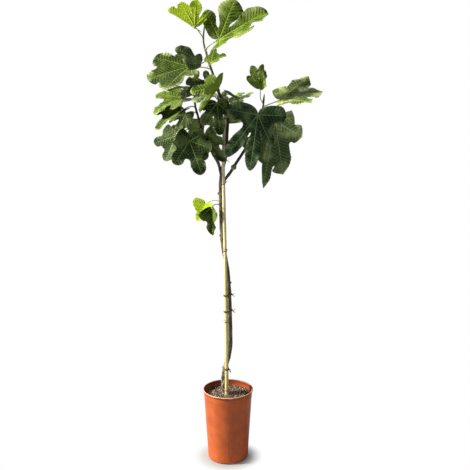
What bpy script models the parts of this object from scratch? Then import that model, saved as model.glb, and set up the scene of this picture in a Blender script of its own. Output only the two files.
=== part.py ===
"""A fig tree in a plastic nursery pot, tied to a bamboo cane.

World frame: metres, +Z up, the pot's centre on the Z axis, the foot of the pot at z = 0.
Places on the plant are given above the soil, so the plant rises with the pot.
"""
import math

import bmesh
import bpy
import numpy as np

# ---------------------------------------------------------------- driving dimensions
GAP = 0.0003  # air left between two pieces that touch

POT_HEIGHT = 0.290
POT_RIM_RADIUS = 0.100
POT_BASE_RADIUS = 0.080
POT_WALL = 0.0022
POT_FLOOR = 0.0030
POT_LIP_DROP = 0.0065  # how far the rolled lip reaches down outside the wall
POT_LIP_PROUD = 0.0030  # how far the lip stands out from the wall
POT_LIP_ROUND = 0.0014
POT_COLLAR_HEIGHT = 0.034  # rim down to the step of the slightly wider collar
POT_COLLAR_STEP = 0.0008
POT_FOOT_HEIGHT = 0.0060  # the floor's channel stands this far above the ground
POT_FOOT_WIDTH = 0.0080
POT_FOOT_DRAFT = 0.0015
POT_PAD_RADIUS = 0.026  # flat round pad under the middle of the floor
POT_BASE_CHAMFER = 0.0040
POT_SEGMENTS = 48
DRAIN_HOLES = 8
DRAIN_RADIUS = 0.0050
DRAIN_SIDES = 12
NOTCHES = 4  # arched openings in the foot ring
NOTCH_WIDTH = 0.0240
NOTCH_HEIGHT = 0.0055
NOTCH_ANGLE = -80.0  # the first notch, in degrees from +X
NOTCH_SIDES = 16

HEADSPACE = 0.0225  # rim down to the soil
SOIL_FALL = 0.0035  # how much lower the soil is at the wall than in the middle

CANE_FOOT_DIAMETER = 0.0152
CANE_TOP_DIAMETER = 0.0114
CANE_DEPTH = 0.222  # below the soil
CANE_NODE_SWELL = 0.0010
CANE_NODE_HALF = 0.006  # half the length of a swollen node ring
CANE_SIDES = 10
CANE_Y = -0.010

TRUNK_FOOT_DIAMETER = 0.0190
TRUNK_DEPTH = 0.200
STEM_SPACE = 0.0006  # air between the trunk and the cane where they cross
STEM_SIDES = 10
STEM_ROW = 0.028  # length of one straight stretch of a stem

TIE_DIAMETER = 0.0026
TIE_SLACK = 0.0006
TIE_TURN_POINTS = 20
TIE_SIDES = 6
TIE_TAIL = 0.013

BLADE_THICKNESS = 0.0014
PETIOLE_DIAMETER = 0.0040
PETIOLE_SIDES = 5
PETIOLE_ROWS = 6
PETIOLE_LEAN = 35.0  # degrees that a petiole leans up the stem where it starts
PETIOLE_UNDER_BLADE = 0.010  # how far the petiole runs on under the blade

SOIL_TOP = POT_HEIGHT - HEADSPACE

# Routes: x, y, height above the soil. The cane stands straight, the trunk winds behind it.
CANE_ROUTE = ((-0.0045, 0.000), (-0.006, 0.300), (-0.010, 0.588), (-0.015, 0.845),
              (-0.016, 0.945), (-0.013, 1.040), (-0.005, 1.124))
CANE_NODES = (0.020, 0.304, 0.588, 0.848, 1.092)

TRUNK_ROUTE = ((-0.015, 0.000), (-0.018, 0.060), (-0.011, 0.108), (0.001, 0.150),
               (0.008, 0.190), (0.009, 0.262), (0.007, 0.345), (0.005, 0.410),
               (-0.002, 0.506), (-0.009, 0.552), (-0.016, 0.590), (-0.021, 0.645),
               (-0.025, 0.765), (-0.025, 0.842), (-0.019, 0.900), (-0.007, 0.953),
               (-0.002, 1.036), (0.000, 1.100), (-0.012, 1.146), (-0.030, 1.180),
               (-0.050, 1.242), (-0.066, 1.290), (-0.077, 1.326), (-0.087, 1.368),
               (-0.086, 1.400), (-0.083, 1.424))
LEFT_ROUTE = ((-0.024, 0.004, 0.872), (-0.034, 0.004, 0.920), (-0.050, 0.002, 0.950),
              (-0.084, -0.006, 1.017), (-0.097, -0.012, 1.056), (-0.109, -0.016, 1.099),
              (-0.119, -0.018, 1.140), (-0.120, -0.018, 1.196))
RIGHT_ROUTE = ((-0.025, 0.006, 0.832), (-0.009, 0.008, 0.862), (0.008, 0.009, 0.884),
               (0.030, 0.010, 0.919), (0.059, 0.008, 0.964), (0.085, 0.004, 1.010),
               (0.107, 0.000, 1.055), (0.122, -0.004, 1.095), (0.131, -0.006, 1.130),
               (0.135, -0.006, 1.166))
# Diameters along each stem: height above the soil, diameter.
TRUNK_TAPER = ((0.0, TRUNK_FOOT_DIAMETER), (0.20, 0.0172), (0.80, 0.0158), (0.90, 0.0146),
               (1.00, 0.0128), (1.20, 0.0104), (1.34, 0.0074), (1.424, 0.0050))
LEFT_TAPER = ((0.872, 0.0100), (0.950, 0.0108), (1.060, 0.0092), (1.196, 0.0060))
RIGHT_TAPER = ((0.832, 0.0100), (0.900, 0.0112), (1.010, 0.0096), (1.166, 0.0062))

# Green tape low on the trunk, brown string at the fork, a white wire at the cane's top.
TIES = (("tie_green_low", 0.108, "tape"), ("tie_green_mid", 0.345, "tape"),
        ("tie_green_high", 0.410, "tape"), ("tie_string", 0.934, "string"),
        ("tie_wire", 1.108, "wire"))

FIG_DIAMETER = 0.021
FIG_SIDES = 10
BUD_LENGTH = 0.016
BUD_SIDES = 8
# Figs: the stem that bears them, the height of the seat, the way they point.
FIGS = (("fig_upper", "trunk", 1.172, (0.55, -0.75, 0.35)),
        ("fig_lower", "right", 0.905, (0.10, -0.95, 0.25)))

# A whole leaf's lobes from its right side to its left: angle from the midrib in degrees,
# length and greatest half-width as shares of the blade's length.
LOBES_FIVE = ((-104, 0.50, 0.155), (-49, 0.84, 0.165), (0, 1.00, 0.180), (49, 0.84, 0.165),
              (104, 0.50, 0.155))
LOBES_THREE = ((-72, 0.66, 0.20), (0, 1.00, 0.215), (72, 0.66, 0.20))
PALM = 0.36  # the undivided part of the blade, as a share of its length
PALM_ROWS = 1
LOBE_ROWS = (0.0, 0.36, 0.80, 1.0)
NECK = 0.66  # width at a lobe's neck as a share of its greatest width
CREASE = 0.06  # half-width of the rounded fold along the midrib, as a share of the length

# Every leaf: the stem and the height of its seat, the place of the blade's base, the way the
# midrib sets off, the way the upper side faces, and the blade's length. Then what is not plain:
# fold (right half, left half) and curl in degrees, bend of the midrib and droop of the lobes in
# degrees over their length, and lobes of its own.
LEAVES = (
    dict(name="leaf_top_left", stem="trunk", seat=1.384, base=(-0.118, -0.034, 1.420),
         along=(-0.85, 0.02, 0.53), facing=(0.05, 0.98, -0.10), size=0.114, fold=(98, 4),
         bend=6, droop=-8),
    dict(name="leaf_top_right", stem="trunk", seat=1.340, base=(-0.030, -0.028, 1.377),
         along=(0.85, -0.05, 0.50), facing=(-0.10, -0.97, 0.20), size=0.200, fold=(62, 6),
         bend=-6, droop=-14,
         lobes=((-96, 0.34, 0.11), (-44, 0.74, 0.15), (0, 1.0, 0.15), (38, 0.72, 0.17),
                (86, 0.56, 0.115))),
    dict(name="leaf_dark_upper", stem="trunk", seat=1.300, base=(-0.096, -0.016, 1.292),
         along=(-0.78, -0.30, 0.55), facing=(-0.25, -0.72, 0.62), size=0.108, fold=(16, 22),
         bend=-14, droop=-22,
         lobes=((-40, 0.60, 0.17), (0, 1.0, 0.21), (46, 0.62, 0.18))),
    dict(name="leaf_broad_left", stem="trunk", seat=1.272, base=(-0.140, 0.012, 1.280),
         along=(-0.90, -0.38, -0.22), facing=(-0.16, -0.62, 0.78), size=0.168, fold=(6, 4),
         bend=-10, droop=-16,
         lobes=((-96, 0.50, 0.16), (-46, 0.80, 0.18), (0, 1.0, 0.18), (34, 1.0, 0.16),
                (76, 0.38, 0.12))),
    dict(name="leaf_curled_right", stem="trunk", seat=1.286, base=(-0.060, -0.034, 1.292),
         along=(0.74, -0.30, 0.55), facing=(-0.50, -0.62, 0.60), size=0.064, fold=(30, 34),
         bend=-24, droop=-30),
    dict(name="leaf_behind_leader", stem="trunk", seat=1.205, base=(-0.062, 0.052, 1.205),
         along=(-0.30, 0.62, 0.66), facing=(-0.30, 0.55, -0.40), size=0.080, fold=(14, 16),
         bend=-8, droop=-14),
    dict(name="leaf_young_left", stem="left", seat=1.188, base=(-0.124, 0.034, 1.218),
         along=(0.34, 0.04, 0.93), facing=(-0.30, -0.90, -0.10), size=0.050, fold=(35, 35),
         bend=8, droop=10, lobes=LOBES_THREE),
    dict(name="leaf_pale_left", stem="left", seat=1.176, base=(-0.166, -0.004, 1.164),
         along=(-0.86, -0.44, -0.20), facing=(-0.22, -0.50, 0.84), size=0.128, fold=(10, 16),
         bend=-26, droop=-30),
    dict(name="leaf_netted", stem="trunk", seat=1.142, base=(-0.074, -0.044, 1.196),
         along=(-0.94, -0.26, -0.08), facing=(-0.06, -0.62, 0.78), size=0.108, fold=(6, 10),
         bend=-16, droop=-20,
         lobes=((-104, 0.50, 0.16), (-49, 0.84, 0.18), (0, 1.00, 0.20), (49, 0.84, 0.20),
                (100, 0.52, 0.19))),
    dict(name="leaf_folded_centre", stem="trunk", seat=1.226, base=(-0.030, -0.104, 1.208),
         along=(-0.56, -0.42, -0.72), facing=(-0.72, -0.35, 0.60), size=0.122, fold=(52, 46),
         bend=-6, droop=6),
    dict(name="leaf_dark_centre", stem="trunk", seat=1.150, base=(-0.038, -0.052, 1.150),
         along=(0.10, -0.10, -0.98), facing=(-0.12, -0.97, 0.14), size=0.118, fold=(10, 10),
         bend=6, droop=-8,
         lobes=((-84, 0.50, 0.15), (-40, 0.82, 0.17), (0, 1.0, 0.17), (44, 0.62, 0.14),
                (92, 0.40, 0.13))),
    dict(name="leaf_left_low", stem="left", seat=1.134, base=(-0.180, -0.034, 1.118),
         along=(-0.78, -0.45, -0.42), facing=(-0.26, -0.50, 0.82), size=0.112, fold=(20, 24),
         bend=-22, droop=-26),
    dict(name="leaf_left_dark", stem="left", seat=1.110, base=(-0.158, 0.026, 1.106),
         along=(-0.42, 0.06, -0.90), facing=(-0.30, -0.90, 0.20), size=0.080, fold=(16, 12),
         bend=4, droop=-6),
    dict(name="leaf_left_hanging", stem="left", seat=1.086, base=(-0.139, -0.062, 1.012),
         along=(0.34, -0.12, -0.92), facing=(0.00, -0.97, 0.16), size=0.132, fold=(10, 8),
         bend=4, droop=-10,
         lobes=((-152, 0.40, 0.14), (-54, 0.78, 0.18), (0, 1.0, 0.19), (52, 0.66, 0.16),
                (100, 0.48, 0.15))),
    dict(name="leaf_left_outer", stem="left", seat=1.052, base=(-0.192, -0.012, 1.028),
         along=(-0.38, -0.14, -0.91), facing=(-0.40, -0.88, 0.20), size=0.104, fold=(24, 14),
         bend=2, droop=-8),
    dict(name="leaf_under_branch", stem="left", seat=1.022, base=(-0.080, -0.050, 1.034),
         along=(0.60, 0.02, -0.80), facing=(-0.42, -0.86, -0.28), size=0.122, fold=(28, 12),
         bend=4, droop=-6,
         lobes=((-88, 0.48, 0.14), (-43, 0.80, 0.15), (0, 1.0, 0.16), (43, 0.70, 0.14),
                (90, 0.44, 0.13))),
    dict(name="leaf_great_hanging", stem="right", seat=1.118, base=(0.111, -0.078, 1.108),
         along=(-0.14, -0.06, -0.98), facing=(0.00, -0.98, 0.18), size=0.205, fold=(4, 4),
         bend=2, droop=-8,
         lobes=((-92, 0.56, 0.155), (-30, 0.95, 0.115), (0, 1.0, 0.125), (32, 0.60, 0.10),
                (96, 0.50, 0.155))),
    dict(name="leaf_right_hanging", stem="right", seat=1.100, base=(0.178, -0.006, 1.080),
         along=(0.08, -0.04, -0.99), facing=(0.22, -0.96, 0.10), size=0.200, fold=(4, 10),
         bend=2, droop=-8,
         lobes=((-64, 0.55, 0.12), (-20, 1.20, 0.10), (0, 1.0, 0.14), (56, 0.52, 0.14),
                (98, 0.36, 0.12))),
    dict(name="leaf_right_upright", stem="right", seat=1.148, base=(0.120, -0.014, 1.200),
         along=(0.14, -0.10, 0.98), facing=(-0.20, -0.96, -0.06), size=0.090, fold=(70, 26),
         bend=6, droop=8, lobes=((-46, 0.70, 0.15), (0, 1.0, 0.25), (44, 0.98, 0.16))),
    dict(name="leaf_far_right", stem="right", seat=1.135, base=(0.198, -0.020, 1.162),
         along=(0.95, -0.20, 0.24), facing=(-0.18, -0.42, 0.88), size=0.158, fold=(8, 10),
         bend=-8, droop=-12,
         lobes=((-84, 0.40, 0.13), (-42, 0.80, 0.15), (0, 1.0, 0.16), (46, 0.92, 0.17),
                (96, 0.50, 0.15))),
    dict(name="leaf_back_pale", stem="trunk", seat=1.060, base=(0.012, 0.098, 1.138),
         along=(0.30, 0.75, 0.50), facing=(-0.25, -0.30, 0.86), size=0.120, fold=(10, 10),
         bend=-16, droop=-18),
    dict(name="leaf_back_striped", stem="right", seat=0.990, base=(0.064, 0.064, 1.080),
         along=(0.22, 0.78, 0.34), facing=(-0.10, -0.30, 0.92), size=0.140, fold=(8, 8),
         bend=-22, droop=-20),
    dict(name="leaf_behind_right", stem="right", seat=1.060, base=(0.142, 0.048, 1.034),
         along=(-0.05, 0.30, -0.94), facing=(0.10, 0.92, 0.30), size=0.130, fold=(12, 10),
         bend=4, droop=-10),
    dict(name="leaf_grey_right", stem="trunk", seat=1.165, base=(0.004, 0.020, 1.180),
         along=(0.70, 0.12, -0.40), facing=(0.30, 0.05, 0.90), size=0.072, fold=(12, 14),
         bend=-14, droop=-20),
    dict(name="leaf_back_left", stem="left", seat=1.030, base=(-0.092, 0.090, 1.076),
         along=(-0.35, 0.82, -0.25), facing=(-0.20, 0.30, 0.92), size=0.165, fold=(8, 8),
         bend=-24, droop=-26),
    dict(name="leaf_back_high", stem="left", seat=1.160, base=(-0.128, 0.108, 1.204),
         along=(-0.40, 0.88, -0.05), facing=(-0.05, -0.05, 0.98), size=0.142, fold=(8, 8),
         bend=-24, droop=-24),
    dict(name="leaf_stem_pale", stem="trunk", seat=0.776, base=(-0.084, 0.012, 0.768),
         along=(-0.45, -0.24, -0.86), facing=(-0.40, -0.66, 0.52), size=0.076, fold=(34, 12),
         bend=-10, droop=-16, lobes=LOBES_THREE),
    dict(name="leaf_stem_dark", stem="trunk", seat=0.762, base=(-0.060, -0.042, 0.762),
         along=(0.05, -0.12, -0.98), facing=(-0.62, -0.75, 0.10), size=0.106, fold=(66, 30),
         bend=4, droop=-6, lobes=((-52, 0.60, 0.15), (0, 1.0, 0.19), (52, 0.60, 0.15))),
)


# ---------------------------------------------------------------- shape arithmetic
def unit(vector):
    vector = np.asarray(vector, float)
    return vector / np.linalg.norm(vector)


def smooth_route(points, row_length):
    """Points at about row_length apart on a smooth curve through the route's points."""
    points = np.asarray(points, float)
    steps = np.linalg.norm(np.diff(points, axis=0), axis=1)
    along = np.concatenate([[0.0], np.cumsum(steps)])
    slopes = np.gradient(points, along, axis=0)
    rows = max(4, int(round(along[-1] / row_length)))
    at = np.linspace(0.0, along[-1], rows + 1)
    span = np.clip(np.searchsorted(along, at, side="right") - 1, 0, len(along) - 2)
    width = (along[span + 1] - along[span])[:, None]
    s = (at - along[span])[:, None] / width
    start = (1 + 2 * s) * (1 - s) ** 2 * points[span] + s * (1 - s) ** 2 * width * slopes[span]
    end = s ** 2 * (3 - 2 * s) * points[span + 1] + s ** 2 * (s - 1) * width * slopes[span + 1]
    return start + end


def cane_radius(height):
    """The cane tapers evenly from its foot to its top."""
    top = CANE_ROUTE[-1][1]
    return 0.5 * np.interp(height, (0.0, top), (CANE_FOOT_DIAMETER, CANE_TOP_DIAMETER))


def taper_radius(taper, height):
    heights, diameters = zip(*taper)
    return 0.5 * np.interp(height, heights, diameters)


def trunk_y(height):
    """The trunk lies behind the cane, clear of it by STEM_SPACE wherever they cross."""
    swell = CANE_NODE_SWELL
    return CANE_Y + cane_radius(height) + swell + taper_radius(TRUNK_TAPER, height) + STEM_SPACE


def stem_rows(name):
    """Centre points above the soil, and radii, of one of the plant's stems."""
    if name == "trunk":
        centres = smooth_route([(x, trunk_y(z), z) for x, z in TRUNK_ROUTE], STEM_ROW)
        centres[:, 1] = trunk_y(centres[:, 2])
        return centres, taper_radius(TRUNK_TAPER, centres[:, 2])
    route, taper = {"left": (LEFT_ROUTE, LEFT_TAPER), "right": (RIGHT_ROUTE, RIGHT_TAPER)}[name]
    shift = trunk_y(route[0][2]) - route[0][1]
    centres = smooth_route([(x, y + shift, z) for x, y, z in route], STEM_ROW)
    return centres, taper_radius(taper, centres[:, 2])


def stem_seat(name, height, towards):
    """Where something grows from a stem's side: centre, radius, outward and upward directions."""
    centres, radii = stem_rows(name)
    centre = np.array([np.interp(height, centres[:, 2], centres[:, i]) for i in range(3)])
    radius = np.interp(height, centres[:, 2], radii)
    row = int(np.clip(np.searchsorted(centres[:, 2], height) - 1, 0, len(centres) - 2))
    upward = unit(centres[row + 1] - centres[row])
    outward = np.asarray(towards, float) - centre
    outward = unit(outward - upward * (outward @ upward))
    return centre, radius, outward, upward


def curve_points(start, start_way, end, end_way, rows):
    """A petiole's centre line: a cubic curve that leaves and arrives in the given ways."""
    reach = np.linalg.norm(np.asarray(end) - start) * 0.38
    near = start + reach * unit(start_way)
    far = end - reach * unit(end_way)
    s = np.linspace(0.0, 1.0, rows)[:, None]
    return ((1 - s) ** 3 * start + 3 * s * (1 - s) ** 2 * near + 3 * s ** 2 * (1 - s) * far
            + s ** 3 * end)


# ---------------------------------------------------------------- the leaf blade
def lobe_half_width(t, length, width, beta, palm):
    """Half-width of a lobe on one side at the distance t along its axis.

    Inside the palm the lobe fills its sector, t * tan(beta), and past the sinus it starts from
    its neck. A free side, with no beta, rounds out from the base with no neck. Both swell to
    the greatest width half-way out and round off to the tip.
    """
    s = np.clip((t - palm) / (length - palm), 0.0, 1.0)
    tip = np.sqrt(np.clip(1.0 - np.clip((s - 0.45) / 0.55, 0.0, 1.0) ** 2.4, 0.0, 1.0))
    if beta is None:
        rounding = np.clip(t / palm, 0.0, 1.0)
        return width * np.sqrt(1.0 - (1.0 - rounding) ** 2) * tip
    neck = min(NECK * width, palm * math.tan(beta))
    swell = np.sin(0.5 * math.pi * np.clip(s / 0.5, 0.0, 1.0)) ** 2
    body = neck + (width - neck) * swell
    return np.where(t <= palm + 1e-9, t * math.tan(beta), body * tip)


def lobe_spread(lobes):
    """Half-angles, in radians, of each lobe's sector on its right and its left."""
    between = list(0.5 * np.diff(np.radians([lobe[0] for lobe in lobes])))
    return [None] + between, between + [None]


def fold_profile(fold, curl, size):
    """Distances from the midrib and, for each, the reach sideways and the rise of the half-blade.

    The half turns up by fold within the crease and by curl more over one blade length.
    """
    u = np.linspace(0.0, 1.3 * size, 80)
    turn = math.radians(fold) * np.clip(u / (CREASE * size), 0.0, 1.0)
    turn = turn + math.radians(curl) * u / size
    step = u[1] - u[0]
    reach = np.concatenate([[0.0], np.cumsum(0.5 * step * (np.cos(turn[1:]) + np.cos(turn[:-1])))])
    rise = np.concatenate([[0.0], np.cumsum(0.5 * step * (np.sin(turn[1:]) + np.sin(turn[:-1])))])
    return u, turn, reach, rise


def shape_blade(flat, leaf, lobe_angle, palm):
    """Carry flat points (x along the midrib, y to the left) to the leaf's bent and folded shape.

    Each lobe bends on its own past the palm, each half folds up about the midrib, and the
    midrib bends along its length.
    """
    size = leaf["size"]
    axis = np.array([math.cos(lobe_angle), math.sin(lobe_angle)])
    across = np.array([-axis[1], axis[0]])
    t = flat @ axis
    n = flat @ across
    rate = math.radians(leaf["droop"]) / size + 1e-4
    past = np.maximum(t - palm, 0.0)
    t = t - past + np.sin(rate * past) / rate
    lift = (1.0 - np.cos(rate * past)) / rate
    x, y = (t[:, None] * axis + n[:, None] * across).T

    z = np.zeros(len(x))
    folded = y.copy()
    for half, sign in ((0, -1.0), (1, 1.0)):
        u, turn, reach, rise = fold_profile(leaf["fold"][half], leaf.get("curl", (0, 0))[half], size)
        here = y * sign > 0.0 if sign < 0.0 else y * sign >= 0.0
        away = np.abs(y)
        angle = np.interp(away, u, turn)
        folded = np.where(here, sign * (np.interp(away, u, reach) - lift * np.sin(angle)), folded)
        z = np.where(here, np.interp(away, u, rise) + lift * np.cos(angle), z)

    rate = math.radians(leaf["bend"]) / size + 1e-4
    bent = np.sin(rate * x) / rate - z * np.sin(rate * x)
    z = (1.0 - np.cos(rate * x)) / rate + z * np.cos(rate * x)
    return np.stack([bent, folded, z], axis=1)


def leaf_frame(leaf):
    """The blade's base above the soil, and its midrib, left and upper directions."""
    along = unit(leaf["along"])
    facing = np.asarray(leaf["facing"], float)
    facing = unit(facing - along * (facing @ along))
    return np.asarray(leaf["base"], float), along, np.cross(facing, along), facing


def blade_mesh(leaf):
    """One sheet for the whole blade: three columns of points along every lobe."""
    lobes = leaf.get("lobes", LOBES_FIVE)
    size = leaf["size"]
    palm = PALM * size * min(1.0, 0.9 * min(lobe[1] for lobe in lobes) / PALM)
    right, left = lobe_spread(lobes)
    base, along, side, facing = leaf_frame(leaf)
    points = []
    faces = []
    for number, (angle, share, half) in enumerate(lobes):
        length, width, axis = share * size, half * size, math.radians(angle)
        t = np.concatenate([palm * np.arange(1, PALM_ROWS + 1) / PALM_ROWS,
                            palm + (length - palm) * np.array(LOBE_ROWS[1:])])
        across = [-lobe_half_width(t, length, width, right[number], palm), 0.0 * t,
                  lobe_half_width(t, length, width, left[number], palm)]
        flat = [(0.0, 0.0)]
        for row in range(len(t)):
            for n in (across[0][row], across[1][row], across[2][row]):
                flat.append((t[row] * math.cos(axis) - n * math.sin(axis),
                             t[row] * math.sin(axis) + n * math.cos(axis)))
        first = len(points)
        points.extend(shape_blade(np.array(flat), leaf, axis, palm))
        faces += [(first, first + 1, first + 2), (first, first + 2, first + 3)]
        for row in range(len(t) - 2):
            a = first + 1 + 3 * row
            faces += [(a, a + 3, a + 4, a + 1), (a + 1, a + 4, a + 5, a + 2)]
        a = first + 1 + 3 * (len(t) - 2)
        faces += [(a, a + 4, a + 1), (a + 1, a + 4, a + 2)]
    local = np.array(points)
    world = base + local @ np.stack([along, side, facing])
    return world + (0.0, 0.0, SOIL_TOP), faces


def petiole_line(leaf):
    """From the seat on the stem's side to a little way under the blade."""
    base, along, side, facing = leaf_frame(leaf)
    radius = 0.5 * PETIOLE_DIAMETER
    centre, stem_radius, outward, upward = stem_seat(leaf["stem"], leaf["seat"], base)
    lean = math.radians(PETIOLE_LEAN)
    way = outward * math.cos(lean) + upward * math.sin(lean)
    cap_reach = radius * math.sin(lean) * math.cos(math.pi / PETIOLE_SIDES)
    start = centre + outward * (stem_radius + cap_reach + GAP)
    arrive = unit(unit(base - start) + 0.8 * along + 0.15 * facing)
    line = curve_points(start, way, base - 0.3 * radius * facing, arrive, PETIOLE_ROWS)
    bend = math.radians(leaf["bend"]) / leaf["size"] * PETIOLE_UNDER_BLADE
    under = base + along * PETIOLE_UNDER_BLADE + facing * (
        0.5 * bend * PETIOLE_UNDER_BLADE - 0.3 * radius)
    return np.vstack([line, under]) + (0.0, 0.0, SOIL_TOP)


# ---------------------------------------------------------------- Blender objects
def clear_scene():
    for thing in list(bpy.data.objects):
        bpy.data.objects.remove(thing, do_unlink=True)


def finish_material(name, colour, roughness):
    """A plain Principled finish, made once for each name."""
    found = bpy.data.materials.get(name)
    if found:
        return found
    made = bpy.data.materials.new(name)
    made.use_nodes = True
    shader = made.node_tree.nodes["Principled BSDF"]
    shader.inputs["Base Color"].default_value = (*colour, 1.0)
    shader.inputs["Roughness"].default_value = roughness
    shader.inputs["Metallic"].default_value = 0.0
    made.diffuse_color = (*colour, 1.0)
    return made


def add_object(name, points, faces, material, merge=0.0):
    mesh = bpy.data.meshes.new(name)
    mesh.from_pydata([tuple(map(float, point)) for point in points], [], faces)
    if merge:
        work = bmesh.new()
        work.from_mesh(mesh)
        bmesh.ops.remove_doubles(work, verts=work.verts, dist=merge)
        bmesh.ops.recalc_face_normals(work, faces=work.faces)
        work.to_mesh(mesh)
        work.free()
    mesh.shade_smooth()
    mesh.set_sharp_from_angle(angle=math.radians(40.0))
    thing = bpy.data.objects.new(name, mesh)
    thing.data.materials.append(material)
    bpy.context.scene.collection.objects.link(thing)
    return thing


def as_guide(thing):
    """A shape that only cuts or adds to another piece."""
    thing.hide_render = True
    thing.display_type = "WIRE"
    return thing


def add_boolean(thing, tool, operation):
    step = thing.modifiers.new(operation.title(), "BOOLEAN")
    step.operation = operation
    step.solver = "EXACT"
    step.use_self = True
    step.object = as_guide(tool)
    return step


def turned_mesh(profile, segments):
    """A profile of (radius, height) turned about Z; its ends lie on the axis."""
    turn = 2.0 * math.pi * np.arange(segments) / segments
    points = [(0.0, 0.0, profile[0][1]), (0.0, 0.0, profile[-1][1])]
    faces = []
    inner = profile[1:-1]
    for radius, height in inner:
        points.extend((radius * math.cos(a), radius * math.sin(a), height) for a in turn)
    for k in range(segments):
        nxt = (k + 1) % segments
        faces.append((0, 2 + nxt, 2 + k))
        for row in range(len(inner) - 1):
            a, b = 2 + row * segments, 2 + (row + 1) * segments
            faces.append((a + k, a + nxt, b + nxt, b + k))
        last = 2 + (len(inner) - 1) * segments
        faces.append((last + k, last + nxt, 1))
    return np.array(points), faces


def add_turned(name, profile, segments, material, base=(0, 0, 0), axis=(0, 0, 1)):
    """A turned solid with its foot at base, standing along axis."""
    points, faces = turned_mesh(profile, segments)
    up = unit(axis)
    side = unit(np.cross(up, (0.3, 1.0, 0.2)) if abs(up[2]) < 0.999 else (1.0, 0.0, 0.0))
    points = np.asarray(base, float) + points @ np.stack([side, np.cross(up, side), up])
    return add_object(name, points, faces, material)


def tube_mesh(line, radii, sides):
    """Rings square to the line, closed by flat ends."""
    line = np.asarray(line, float)
    way = np.gradient(line, axis=0)
    way /= np.linalg.norm(way, axis=1)[:, None]
    chord = unit(line[-1] - line[0])
    steady = np.cross(chord, unit(np.cross(way[0], way[-1]) + 1e-3 * np.array([0.3, 1.0, 0.2])))
    if np.linalg.norm(steady) < 0.2:
        steady = np.cross(chord, (0.3, 1.0, 0.2))
    first = steady - way * (way @ steady)[:, None]
    first /= np.linalg.norm(first, axis=1)[:, None]
    second = np.cross(way, first)
    turn = 2.0 * math.pi * np.arange(sides) / sides
    radii = np.broadcast_to(radii, len(line))[:, None, None]
    rings = (line[:, None, :] + radii * (np.cos(turn)[None, :, None] * first[:, None, :]
                                         + np.sin(turn)[None, :, None] * second[:, None, :]))
    faces = [tuple(range(sides))[::-1]]
    for row in range(len(line) - 1):
        for k in range(sides):
            a, b = row * sides, (row + 1) * sides
            nxt = (k + 1) % sides
            faces.append((a + k, a + nxt, b + nxt, b + k))
    last = (len(line) - 1) * sides
    faces.append(tuple(range(last, last + sides)))
    return rings.reshape(-1, 3), faces


def add_tube(name, line, radii, sides, material):
    points, faces = tube_mesh(line, radii, sides)
    return add_object(name, points, faces, material)


# ---------------------------------------------------------------- pot and soil
def wall_radius(height):
    """Outside of the pot's wall: a cone, a little wider above the collar's step."""
    top = POT_RIM_RADIUS - POT_LIP_PROUD - POT_COLLAR_STEP
    return np.interp(height, (POT_BASE_CHAMFER, POT_HEIGHT), (POT_BASE_RADIUS, top))


def add_pot():
    plastic = finish_material("terracotta_plastic", (0.62, 0.17, 0.06), 0.42)
    collar = POT_HEIGHT - POT_COLLAR_HEIGHT
    lip = POT_HEIGHT - POT_LIP_DROP
    channel = POT_BASE_RADIUS - POT_FOOT_WIDTH
    floor = POT_FOOT_HEIGHT + POT_FLOOR
    profile = (
        (0.0, 0.0), (POT_PAD_RADIUS, 0.0),
        (POT_PAD_RADIUS + POT_FOOT_DRAFT, POT_FOOT_HEIGHT),
        (channel - POT_FOOT_DRAFT, POT_FOOT_HEIGHT), (channel, 0.0),
        (POT_BASE_RADIUS - POT_BASE_CHAMFER, 0.0), (POT_BASE_RADIUS, POT_BASE_CHAMFER),
        (wall_radius(collar), collar),
        (wall_radius(collar) + POT_COLLAR_STEP, collar + POT_COLLAR_STEP),
        (wall_radius(lip) + POT_COLLAR_STEP, lip),
        (POT_RIM_RADIUS - POT_LIP_ROUND, lip), (POT_RIM_RADIUS, lip + POT_LIP_ROUND),
        (POT_RIM_RADIUS, POT_HEIGHT - POT_LIP_ROUND),
        (POT_RIM_RADIUS - POT_LIP_ROUND, POT_HEIGHT),
        (POT_RIM_RADIUS - POT_LIP_PROUD, POT_HEIGHT),
        (wall_radius(lip) - POT_WALL, POT_HEIGHT - POT_LIP_ROUND),
        (POT_BASE_RADIUS - POT_WALL, floor), (0.0, floor))
    pot = add_turned("pot", profile, POT_SEGMENTS, plastic)

    drain_ring = 0.5 * (POT_PAD_RADIUS + channel)
    drain = ((0.0, 0.0), (DRAIN_RADIUS, 0.0), (DRAIN_RADIUS, floor + POT_FLOOR),
             (0.0, floor + POT_FLOOR))
    for number in range(DRAIN_HOLES):
        angle = math.radians(NOTCH_ANGLE) + 2.0 * math.pi * (number + 0.5) / DRAIN_HOLES
        foot = (drain_ring * math.cos(angle), drain_ring * math.sin(angle), 0.5 * POT_FLOOR)
        add_boolean(pot, add_turned(f"drain_{number}", drain, DRAIN_SIDES, plastic, foot),
                    "DIFFERENCE")
    stretch = NOTCH_WIDTH / (2.0 * NOTCH_HEIGHT)
    for number in range(NOTCHES):
        angle = math.radians(NOTCH_ANGLE) + 2.0 * math.pi * number / NOTCHES
        out = np.array([math.cos(angle), math.sin(angle), 0.0])
        line = [out * (channel - 2.0 * POT_FOOT_DRAFT), out * (POT_BASE_RADIUS + POT_WALL)]
        points, faces = tube_mesh(line, NOTCH_HEIGHT, NOTCH_SIDES)
        aside = np.array([-out[1], out[0], 0.0])
        points = points + np.outer(points @ aside, aside) * (stretch - 1.0)
        add_boolean(pot, add_object(f"notch_{number}", points, faces, plastic), "DIFFERENCE")
    return pot


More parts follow.
